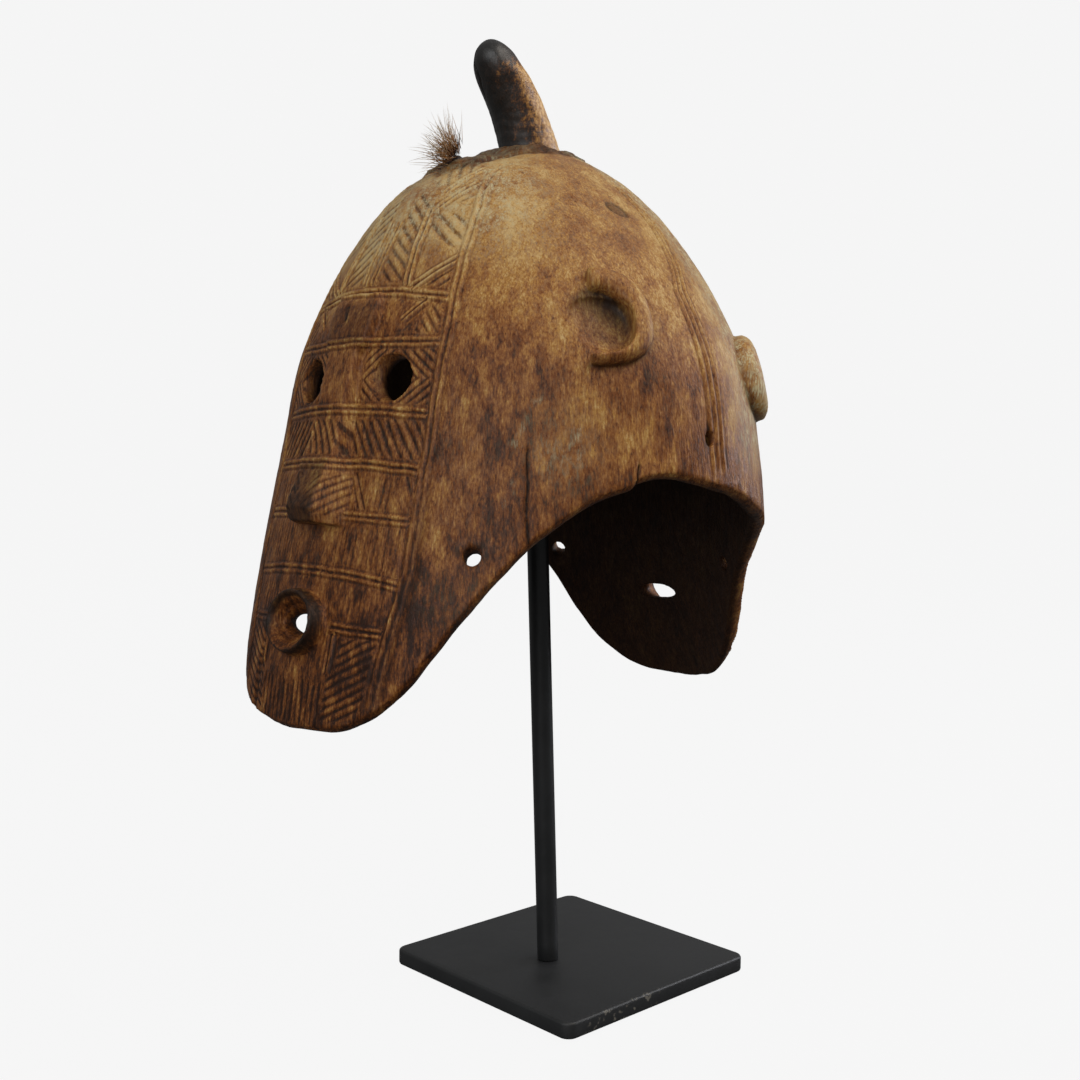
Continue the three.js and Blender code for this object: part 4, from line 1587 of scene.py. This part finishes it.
@dataclass(frozen=True)
class Stand:
    """The display stand: leaning rod, square plate and four pads."""

    side: float = 152.4
    thickness: float = 9.5
    corner: float = 7.0
    edge: float = 1.6
    pad_radius: float = 9.0
    pad_height: float = 2.0
    pad_inset: float = 17.0
    gap: float = 0.3
    rod_radius: float = 6.35
    rod_lean: float = 0.0476
    rod_top: float = 472.5

    @property
    def plate_foot(self) -> float:
        """Height of the plate's underside."""
        return self.pad_height + self.gap

    @property
    def rod_foot(self) -> float:
        """Height of the rod's lower end."""
        return self.plate_foot + self.thickness + self.gap

    def rod(self) -> bpy.types.Object:
        """Builds the rod with softened ends.

        Returns:
            The rod, without a material.
        """
        length = self.rod_top - self.rod_foot
        stops = (0, 0.02, 0.04, 0.96, 0.98, 1.0)
        radii = (0, self.rod_radius - 0.5, self.rod_radius, self.rod_radius,
                 self.rod_radius - 0.5, 0)
        rises = (0, 0, 0.5, length - 0.5, length, length)

        def place(u: np.ndarray, v: np.ndarray) -> np.ndarray:
            """Lays the rod.

            Args:
                u: round the rod, 0 to 1.
                v: from its foot to its top, 0 to 1.

            Returns:
                Positions (N, 3), mm.
            """
            r, z = np.interp(v, stops, radii), self.rod_foot + np.interp(v, stops, rises)
            middle = PLATE_Y - 18.4 - self.rod_lean * (z - self.rod_foot)
            turn = u * 2 * math.pi
            return np.stack([r * np.cos(turn), middle + r * np.sin(turn), z], axis=1)

        bm = bmesh.new()
        lay_grid(bm, 64, 50, place)
        return mesh_object("rod_steel", close_up(bm))

    @staticmethod
    def level_edges(bm: bmesh.types.BMesh, level: bool) -> list[bmesh.types.BMEdge]:
        """The edges of a mesh that lie level, or those that don't."""
        return [e for e in bm.edges if (abs(e.verts[0].co.z - e.verts[1].co.z) < 1e-4) is level]

    def plate(self) -> bpy.types.Object:
        """Builds the plate with rounded corners and eased edges.

        Returns:
            The plate, without a material.
        """
        bm = bmesh.new()
        size = Matrix.Diagonal((self.side, self.side, self.thickness, 1.0))
        place = Matrix.Translation((0, PLATE_Y, self.plate_foot + self.thickness / 2))
        bmesh.ops.create_cube(bm, size=1.0, matrix=place @ size)
        bmesh.ops.bevel(bm, geom=self.level_edges(bm, False), offset=self.corner, segments=10,
                        offset_type="OFFSET", affect="EDGES", profile=0.5, material=-1)
        bmesh.ops.bevel(bm, geom=self.level_edges(bm, True), offset=self.edge, segments=4,
                        offset_type="OFFSET", affect="EDGES", profile=0.5, material=-1)
        return mesh_object("plate_steel", close_up(bm))

    def pads(self) -> list[tuple[str, bpy.types.Object]]:
        """Builds the four pads with softened edges.

        Returns:
            Each pad's CAD node and its object, without a material.
        """
        made = []
        place = self.side / 2 - self.pad_inset
        corners = {"front_left": (-1, -1), "front_right": (1, -1),
                   "back_left": (-1, 1), "back_right": (1, 1)}
        for name, (sx, sy) in corners.items():
            bm = bmesh.new()
            spot = (sx * place, PLATE_Y + sy * place, self.pad_height / 2)
            bmesh.ops.create_cone(bm, cap_ends=True, segments=48, radius1=self.pad_radius,
                                  radius2=self.pad_radius, depth=self.pad_height,
                                  matrix=Matrix.Translation(spot))
            bmesh.ops.bevel(bm, geom=self.level_edges(bm, True), offset=0.35, segments=2,
                            offset_type="OFFSET", affect="EDGES", profile=0.5, material=-1)
            made.append(("foot_pad_" + name, mesh_object("pad_" + name, close_up(bm))))
        return made


@dataclass(frozen=True)
class CarvedWoodFinish:
    """Old carved hardwood: oiled, smoked and handled, worn pale on top, near black below.

    The eye gets a low uneven sheen, upright fibre, dark dirt in every cut and pale ridges.
    """

    roughness: float = 0.44
    ior: float = 1.48
    specular: float = 0.2
    tones: tuple = ((0.0, "#BA9A64"), (0.2, "#A3783C"), (0.4, "#89592C"), (0.6, "#6E3E19"),
                    (0.8, "#4A2711"), (1.0, "#2B150A"))
    dirt: str = "#1A0D07"
    dust_and_sheen: str = "#B9AD88"
    haze: str = "#A99A7C"
    soot_and_shade: str = "#1C130D"
    hollow: str = "#22140D"

    def material(self) -> bpy.types.Material:
        """Makes the material.

        Returns:
            The finished material.
        """
        g = Graph("carved_hardwood_oiled")
        coords = (g.add("TexCoord"), 3)

        def read(name: str) -> tuple:
            """A named attribute of the mesh, as one number."""
            return (g.add("Attribute", attribute_type="GEOMETRY", attribute_name=name), 2)

        def calc(operation: str, a: object, b: object = 0.0, clamp: bool = False) -> bpy.types.Node:
            """One operation of arithmetic on two values."""
            return g.add("Math", {0: a, 1: b}, operation=operation, use_clamp=clamp)

        def ranged(value: object, low: float, high: float, start: float = 0.0,
                   end: float = 1.0) -> bpy.types.Node:
            """Smooth start to end as value goes from low to high."""
            return g.add("MapRange", {0: value, 1: low, 2: high, 3: start, 4: end},
                         interpolation_type="SMOOTHSTEP")

        def mixed(factor: object, a: object, b: object) -> tuple:
            """Colour a turned to colour b by a factor."""
            return (g.add("Mix", {0: factor, 6: a, 7: b}, data_type="RGBA"), 2)

        def noise(across: float, up: float, detail: float, roughness: float) -> bpy.types.Node:
            """Adds noise stretched along the grain.

            Args:
                across: size of its features across the grain, mm.
                up: their size along it, mm.
                detail: octaves.
                roughness: strength of the finer octaves.

            Returns:
                The noise's node.
            """
            sideways, upward = 1 / (across * MM), 1 / (up * MM)
            place = g.add("Mapping", {"Vector": coords, "Scale": (sideways, sideways, upward)})
            return g.add("TexNoise", {"Vector": place, "Scale": 1.0, "Detail": detail,
                                      "Roughness": roughness})

        # sizes in mm across and up the grain of the wood
        cloud = noise(20, 32, 3.0, 0.55)
        stain, streak = noise(9, 24, 3.0, 0.6), noise(3, 14, 3.0, 0.58)
        mottle, fibre = noise(3.4, 7, 5.0, 0.7), noise(0.8, 10, 3, 0.6)
        grit = noise(1.1, 2.2, 3, 0.7)
        age = read("age")
        hatch, line_on, flank_on = read("hatch"), read("line_on"), read("flank_on")
        wave = calc("COSINE", calc("MULTIPLY", read("cycle"), 2 * math.pi))
        cut = calc("MULTIPLY", ranged(wave, 0.1, 0.95), hatch)
        crest = calc("MULTIPLY", calc("MULTIPLY", ranged(wave, -0.3, -0.95), hatch), 0.5)
        line = calc("ABSOLUTE", read("line_at"))
        beside = calc("ABSOLUTE", calc("SUBTRACT", line, FaceCarving.half_pitch))
        line_crest = calc("MULTIPLY", ranged(beside, 0.85, 0.2), line_on)
        outer = ranged(calc("ABSOLUTE", calc("SUBTRACT", line, 3.2)), 1.0, 0.2, 0.0, 0.6)
        line_cut = calc("MULTIPLY", calc("ADD", ranged(line, 0.8, 0.2), outer), line_on, True)
        flank_turn = 2 * math.pi / MaskBody.flank_pitch
        flank = calc("COSINE", calc("MULTIPLY", read("flank_at"), flank_turn))
        flank_crest = calc("MULTIPLY", ranged(flank, 0.3, 0.95, 0.0, 0.6), flank_on)
        flank_cut = calc("MULTIPLY", ranged(flank, -0.2, -0.95, 0.0, 0.4), flank_on)
        cuts = calc("MAXIMUM", calc("MAXIMUM", cut, line_cut), flank_cut)
        crests = calc("MAXIMUM", calc("MAXIMUM", crest, line_crest), flank_crest)
        crests = calc("MULTIPLY", crests, ranged(mottle, 0.35, 0.6, 0.45, 1.0))
        # the stains are strongest where the wood is darkest; cuts hold dirt, crests are worn pale
        stained = calc("MULTIPLY", calc("SUBTRACT", stain, 0.5), calc("ADD", age, 0.35))
        tone = calc("ADD", age, calc("MULTIPLY", stained, 1.05))
        streaked = calc("MULTIPLY", calc("SUBTRACT", streak, 0.5), calc("ADD", age, 0.15))
        tone = calc("ADD", tone, calc("MULTIPLY", streaked, 1.15))
        for source, strength in ((cloud, 0.85), (mottle, 0.4), (fibre, 0.85), (grit, 0.85)):
            tone = calc("ADD", tone, calc("MULTIPLY", calc("SUBTRACT", source, 0.5), strength))
        tone = calc("ADD", tone, calc("MULTIPLY", crests, -0.32))
        tone = calc("ADD", tone, calc("MULTIPLY", cuts, 0.24))
        wood = (g.add("ValToRGB", {0: tone}, ramp=self.tones), 0)
        colour = mixed(calc("MULTIPLY", cuts, 0.42), wood, self.dirt)
        # old wax and dust in the open grain, 1.4 x 4 mm, thinner where the wood is dark
        haze = ranged(noise(1.4, 4, 3, 0.65), 0.4, 0.68, 0.0, 0.3)
        haze = calc("MULTIPLY", haze, calc("SUBTRACT", 0.8, age), True)
        colour = mixed(haze, colour, self.haze)
        flecks = calc("MULTIPLY", ranged(grit, 0.63, 0.7), 0.45)
        colour = mixed(flecks, colour, self.dirt)
        # pale dust and scratches, with a painted sheen on the back
        dust_and_sheen_weight = calc("MULTIPLY", read("scuff_and_sheen"), ranged(fibre, 0.38, 0.64, 0.1, 0.8))
        dust_and_sheen_weight = calc("MULTIPLY", dust_and_sheen_weight, ranged(mottle, 0.4, 0.58))
        colour = mixed(dust_and_sheen_weight, colour, self.dust_and_sheen)
        # soot and dirt, together with painted shadow in the ears' bowls and painted shade at their
        # feet
        soot_and_shade = calc("MULTIPLY", read("dark"), ranged(mottle, 0.25, 0.55, 0.7, 1.0), True)
        colour = mixed(soot_and_shade, colour, self.soot_and_shade)
        hollow = calc("MULTIPLY", read("inside"), ranged(stain, 0.2, 0.7, 0.93, 0.7))
        colour = mixed(hollow, colour, self.hollow)
        # bump: up to 0.7 mm deep, of fibre, mottled skin and pits
        skin = calc("ADD", calc("MULTIPLY", fibre, 0.6), calc("MULTIPLY", mottle, 0.5))
        skin = calc("ADD", skin, calc("MULTIPLY", grit, 0.4))
        bumped = g.add("Bump", {"Strength": 0.65, "Distance": 0.0007, "Height": skin})
        rough = ranged(mottle, 0.3, 0.7, self.roughness - 0.08, self.roughness + 0.14)
        rough = calc("ADD", rough, calc("MULTIPLY", calc("MAXIMUM", cuts, hollow), 0.2))
        return g.finish(g.add("BsdfPrincipled", {
            "Base Color": colour, "Roughness": rough, "IOR": self.ior,
            "Specular IOR Level": self.specular, "Normal": bumped}))


@dataclass(frozen=True)
class HornFinish:
    """Old smoked horn: painted shade blackens its front, a painted highlight makes its back amber.
    """

    roughness: float = 0.42
    ior: float = 1.54
    tones: tuple = ((0.0, "#12100E"), (0.38, "#261B14"), (0.52, "#4A2C17"), (0.72, "#96692F"),
                    (1.0, "#C7A066"))

    def material(self) -> bpy.types.Material:
        """Makes the material.

        Returns:
            The finished material.
        """
        g = Graph("old_horn")
        coords = (g.add("TexCoord"), 3)
        lit, split, tip = ((g.add("Attribute", attribute_name=name), 2)
                           for name in ("lit_side", "split", "tip"))
        # streaks run up the horn, 3 mm wide and 16 mm long; blotches are 8 mm, flecks 2 mm
        flow = g.add("Mapping", {"Vector": coords, "Scale": (1 / 0.003, 1 / 0.003, 1 / 0.016)})
        streak = g.add("TexNoise", {"Vector": flow, "Scale": 1.0, "Detail": 5.0,
                                    "Roughness": 0.65})
        blotch = g.add("TexNoise", {"Vector": coords, "Scale": 120.0, "Detail": 5.0,
                                    "Roughness": 0.6})
        fleck = g.add("TexNoise", {"Vector": coords, "Scale": 520.0, "Detail": 3.0,
                                   "Roughness": 0.7})
        # painted light and shade: paler amber on the side toward the lamps at the right and back,
        # blacker opposite
        tone = g.add("Math", {0: lit, 1: 0.5, 2: -0.89}, operation="MULTIPLY_ADD")
        tone = g.add("Math", {0: streak, 1: 0.9, 2: tone}, operation="MULTIPLY_ADD")
        tone = g.add("Math", {0: blotch, 1: 0.6, 2: tone}, operation="MULTIPLY_ADD")
        tone = g.add("Math", {0: fleck, 1: 1.1, 2: tone}, operation="MULTIPLY_ADD")
        tone = g.add("Math", {0: tip, 1: -0.45, 2: tone}, operation="MULTIPLY_ADD")
        horn = g.add("ValToRGB", {0: tone}, ramp=self.tones)
        colour = g.add("Mix", {0: split, 6: horn, 7: "#0C0907"}, data_type="RGBA")
        height = g.add("Math", {0: streak, 1: blotch})
        bumped = g.add("Bump", {"Strength": 0.5, "Distance": 0.0007, "Height": height})
        rough = g.add("MapRange", {0: blotch, 1: 0.3, 2: 0.7, 3: self.roughness - 0.07,
                                   4: self.roughness + 0.15})
        return g.finish(g.add("BsdfPrincipled", {
            "Base Color": (colour, 2), "Roughness": rough, "IOR": self.ior, "Normal": bumped}))


@dataclass(frozen=True)
class HairFinish:
    """Coarse animal hair: rusty black at the root, pale grey-brown at the tips, dry."""

    tones: tuple = ((0.0, "#2A170C"), (0.1, "#6B3F1C"), (0.28, "#A3713A"), (0.55, "#B09C80"),
                    (1.0, "#D6CDC0"))

    def material(self) -> bpy.types.Material:
        """Makes the material.

        Returns:
            The finished material.
        """
        g = Graph("animal_hair")
        reach, strand = ((g.add("Attribute", attribute_name=name), 2)
                         for name in ("reach", "strand"))
        offset = g.add("Math", {0: strand, 1: 0.5, 2: -0.25}, operation="MULTIPLY_ADD")
        tone = g.add("Math", {0: reach, 1: offset})
        colour = g.add("ValToRGB", {0: tone}, ramp=self.tones)
        return g.finish(g.add("BsdfPrincipled", {
            "Base Color": colour, "Roughness": 0.7, "IOR": 1.55}))


@dataclass(frozen=True)
class BlackPaintFinish:
    """Matt black paint on steel: even, very slightly grained, with a soft grey sheen."""

    roughness: float = 0.5
    chipped: bool = False

    def material(self) -> bpy.types.Material:
        """Makes the material.

        Returns:
            The finished material.
        """
        g = Graph("matt_black_paint" + ("_chipped" if self.chipped else ""))
        coords = (g.add("TexCoord"), 3)
        # the paint's grain is about 0.5 mm, cloudy wear about 30 mm
        grain = g.add("TexNoise", {"Vector": coords, "Scale": 1800.0, "Detail": 2.0})
        cloud = g.add("TexNoise", {"Vector": coords, "Scale": 34.0, "Detail": 5.0,
                                   "Roughness": 0.6})
        base = (g.add("ValToRGB", {0: cloud}, ramp=((0.3, "#151617"), (0.7, "#1F2021"))), 0)
        if self.chipped:
            # chips of 4 mm and less along the middle of the plate's right edge
            spot = g.add("TexNoise", {"Vector": coords, "Scale": 260.0, "Detail": 3.0})
            where = g.add("SeparateXYZ", {0: coords})
            edge = g.add("MapRange", {0: (where, 0), 1: 0.0735, 2: 0.0758})
            off = g.add("Math", {0: (where, 1), 1: 0.02}, operation="SUBTRACT")
            off = g.add("Math", {0: off}, operation="ABSOLUTE")
            low = g.add("MapRange", {0: off, 1: 0.034, 2: 0.02})
            place = g.add("Math", {0: edge, 1: low}, operation="MULTIPLY", use_clamp=True)
            chip = g.add("MapRange", {0: spot, 1: 0.58, 2: 0.64})
            chips = g.add("Math", {0: place, 1: chip}, operation="MULTIPLY", use_clamp=True)
            base = (g.add("Mix", {0: chips, 6: base, 7: "#5E5A52"}, data_type="RGBA"), 2)
        bumped = g.add("Bump", {"Strength": 0.25, "Distance": 0.0002, "Height": grain})
        rough = g.add("MapRange", {0: cloud, 1: 0.3, 2: 0.7, 3: self.roughness - 0.05,
                                   4: self.roughness + 0.08})
        return g.finish(g.add("BsdfPrincipled", {
            "Base Color": base, "Roughness": rough, "IOR": 1.5, "Normal": bumped}))


@dataclass(frozen=True)
class CorkFinish:
    """Pressed cork: pale tan grains 1 to 2 mm across with dark specks, dull."""

    tones: tuple = ((0.0, "#6B4A30"), (0.35, "#B08A60"), (1.0, "#C9A67C"))

    def material(self) -> bpy.types.Material:
        """Makes the material.

        Returns:
            The finished material.
        """
        g = Graph("pressed_cork")
        grains = g.add("TexVoronoi", {"Vector": (g.add("TexCoord"), 3), "Scale": 650.0})
        colour = g.add("ValToRGB", {0: grains}, ramp=self.tones)
        bumped = g.add("Bump", {"Strength": 0.5, "Distance": 0.0003, "Height": grains})
        return g.finish(g.add("BsdfPrincipled", {
            "Base Color": colour, "Roughness": 0.9, "IOR": 1.45, "Normal": bumped}))


@dataclass(frozen=True)
class Studio:
    """Pale floor and backdrop, soft lights and the camera."""

    camera_at: tuple = (574.1, -519.15, 318.7)
    right: tuple = (0.6872, 0.7264, 0.0105)
    down: tuple = (0.0556, -0.0382, -0.9977)
    forward: tuple = (-0.7244, 0.6862, -0.0666)
    lens: float = 45.0
    aim: tuple = (0.0, 0.0, 0.36)

    def camera(self) -> None:
        """Places the camera of the photograph."""
        data = bpy.data.cameras.new("camera")
        data.lens, data.sensor_width, data.sensor_fit = self.lens, 36.0, "HORIZONTAL"
        data.clip_start, data.clip_end = 0.02, 60.0
        camera = bpy.data.objects.new("camera", data)
        back = [-c for c in self.forward]
        axes = Matrix((self.right, [-c for c in self.down], back)).transposed().to_4x4()
        camera.matrix_world = Matrix.Translation(Vector(self.camera_at) * MM) @ axes
        bpy.context.scene.collection.objects.link(camera)
        bpy.context.scene.camera = camera

    def lamp(self, name: str, at: Sequence[float], size: float, power: float,
             colour: str = "#FFFFFF") -> None:
        """Adds a soft square light that faces the mask.

        Args:
            name: its name.
            at: its place in metres.
            size: its side in metres.
            power: watts.
            colour: sRGB hex colour.
        """
        data = bpy.data.lights.new(name, "AREA")
        data.shape, data.size, data.energy = "SQUARE", size, power
        data.color = linear(colour)[:3]
        lamp = bpy.data.objects.new(name, data)
        turn = (Vector(self.aim) - Vector(at)).to_track_quat("-Z", "Y").to_matrix().to_4x4()
        lamp.matrix_world = Matrix.Translation(Vector(at)) @ turn
        bpy.context.scene.collection.objects.link(lamp)

    def lights(self) -> None:
        """Adds the lights and a sky that is brighter above than below."""
        self.lamp("key", (1.05, 0.35, 1.65), 1.2, 17.0, "#FFF8EE")
        self.lamp("front", (0.7, -1.6, 0.9), 1.3, 15.0)
        self.lamp("rim", (0.7, 1.7, 0.8), 1.0, 16.0, "#F2F5FF")
        world = bpy.data.worlds.new("studio")
        world.use_nodes = True
        tree = world.node_tree
        tree.nodes.clear()
        coords, parts, rise, sky, out = (tree.nodes.new("ShaderNode" + kind) for kind in (
            "TexCoord", "SeparateXYZ", "MapRange", "Background", "OutputWorld"))
        for socket, value in ((1, -0.6), (2, 0.9), (3, 0.10), (4, 0.46)):
            rise.inputs[socket].default_value = value
        tree.links.new(coords.outputs["Generated"], parts.inputs[0])
        tree.links.new(parts.outputs["Z"], rise.inputs[0])
        tree.links.new(rise.outputs[0], sky.inputs["Strength"])
        tree.links.new(sky.outputs[0], out.inputs["Surface"])
        bpy.context.scene.world = world

    def floor(self) -> None:
        """Adds the seamless floor and backdrop, pale and almost without shadow."""
        g = Graph("pale_floor")
        glow = g.add("Emission", {"Color": "#F6F6F6", "Strength": 0.988})
        paint = g.add("BsdfDiffuse", {"Color": "#202020"})
        bm = bmesh.new()
        bmesh.ops.create_cone(bm, cap_ends=True, segments=96, radius1=9.0, radius2=9.0,
                              depth=12.0, matrix=Matrix.Translation((0, 0, 6.0)))
        bmesh.ops.reverse_faces(bm, faces=bm.faces)
        floor = mesh_object("floor", bm, 1.0)
        floor.data.materials.append(g.finish(g.add("AddShader", {0: glow, 1: paint})))
        floor.visible_diffuse = floor.visible_glossy = floor.visible_shadow = False
        floor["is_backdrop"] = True


def settle(piece: bpy.types.Object, nodes: Sequence[str],
           material: bpy.types.Material) -> None:
    """Gives a finished piece its body, slot and material, and hides the CAD nodes it stands for.

    Args:
        piece: the piece.
        nodes: the CAD nodes it stands for.
        material: its finish.
    """
    piece.data.materials.clear()
    piece.data.materials.append(material)
    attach(piece, "root")
    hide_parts(*nodes)
    LOG.info("%s: %d faces", piece.name, len(piece.data.polygons))


def corners() -> list[list[float]]:
    """The shown object's lowest and highest corner as plain lists."""
    return [[float(c) for c in corner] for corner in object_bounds()]


def main() -> None:
    """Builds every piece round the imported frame."""
    logging.basicConfig(level=logging.INFO, format="%(name)s %(message)s")
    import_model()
    studio = Studio()
    studio.camera()
    studio.lights()
    studio.floor()
    bpy.context.scene.view_settings.view_transform = "Standard"
    horn = CrownHorn()
    settle(MaskBody().build(horn), ["mask"], CarvedWoodFinish().material())
    settle(horn.build(), ["horn"], HornFinish().material())
    settle(HairTuft().build(), ["fur_tuft"], HairFinish().material())
    stand = Stand()
    settle(stand.rod(), ["stand_rod"], BlackPaintFinish(0.42).material())
    settle(stand.plate(), ["stand_plate"], BlackPaintFinish(0.5, True).material())
    cork = CorkFinish().material()
    for node, pad in stand.pads():
        settle(pad, [node], cork)


if __name__ == "__main__":
    main()
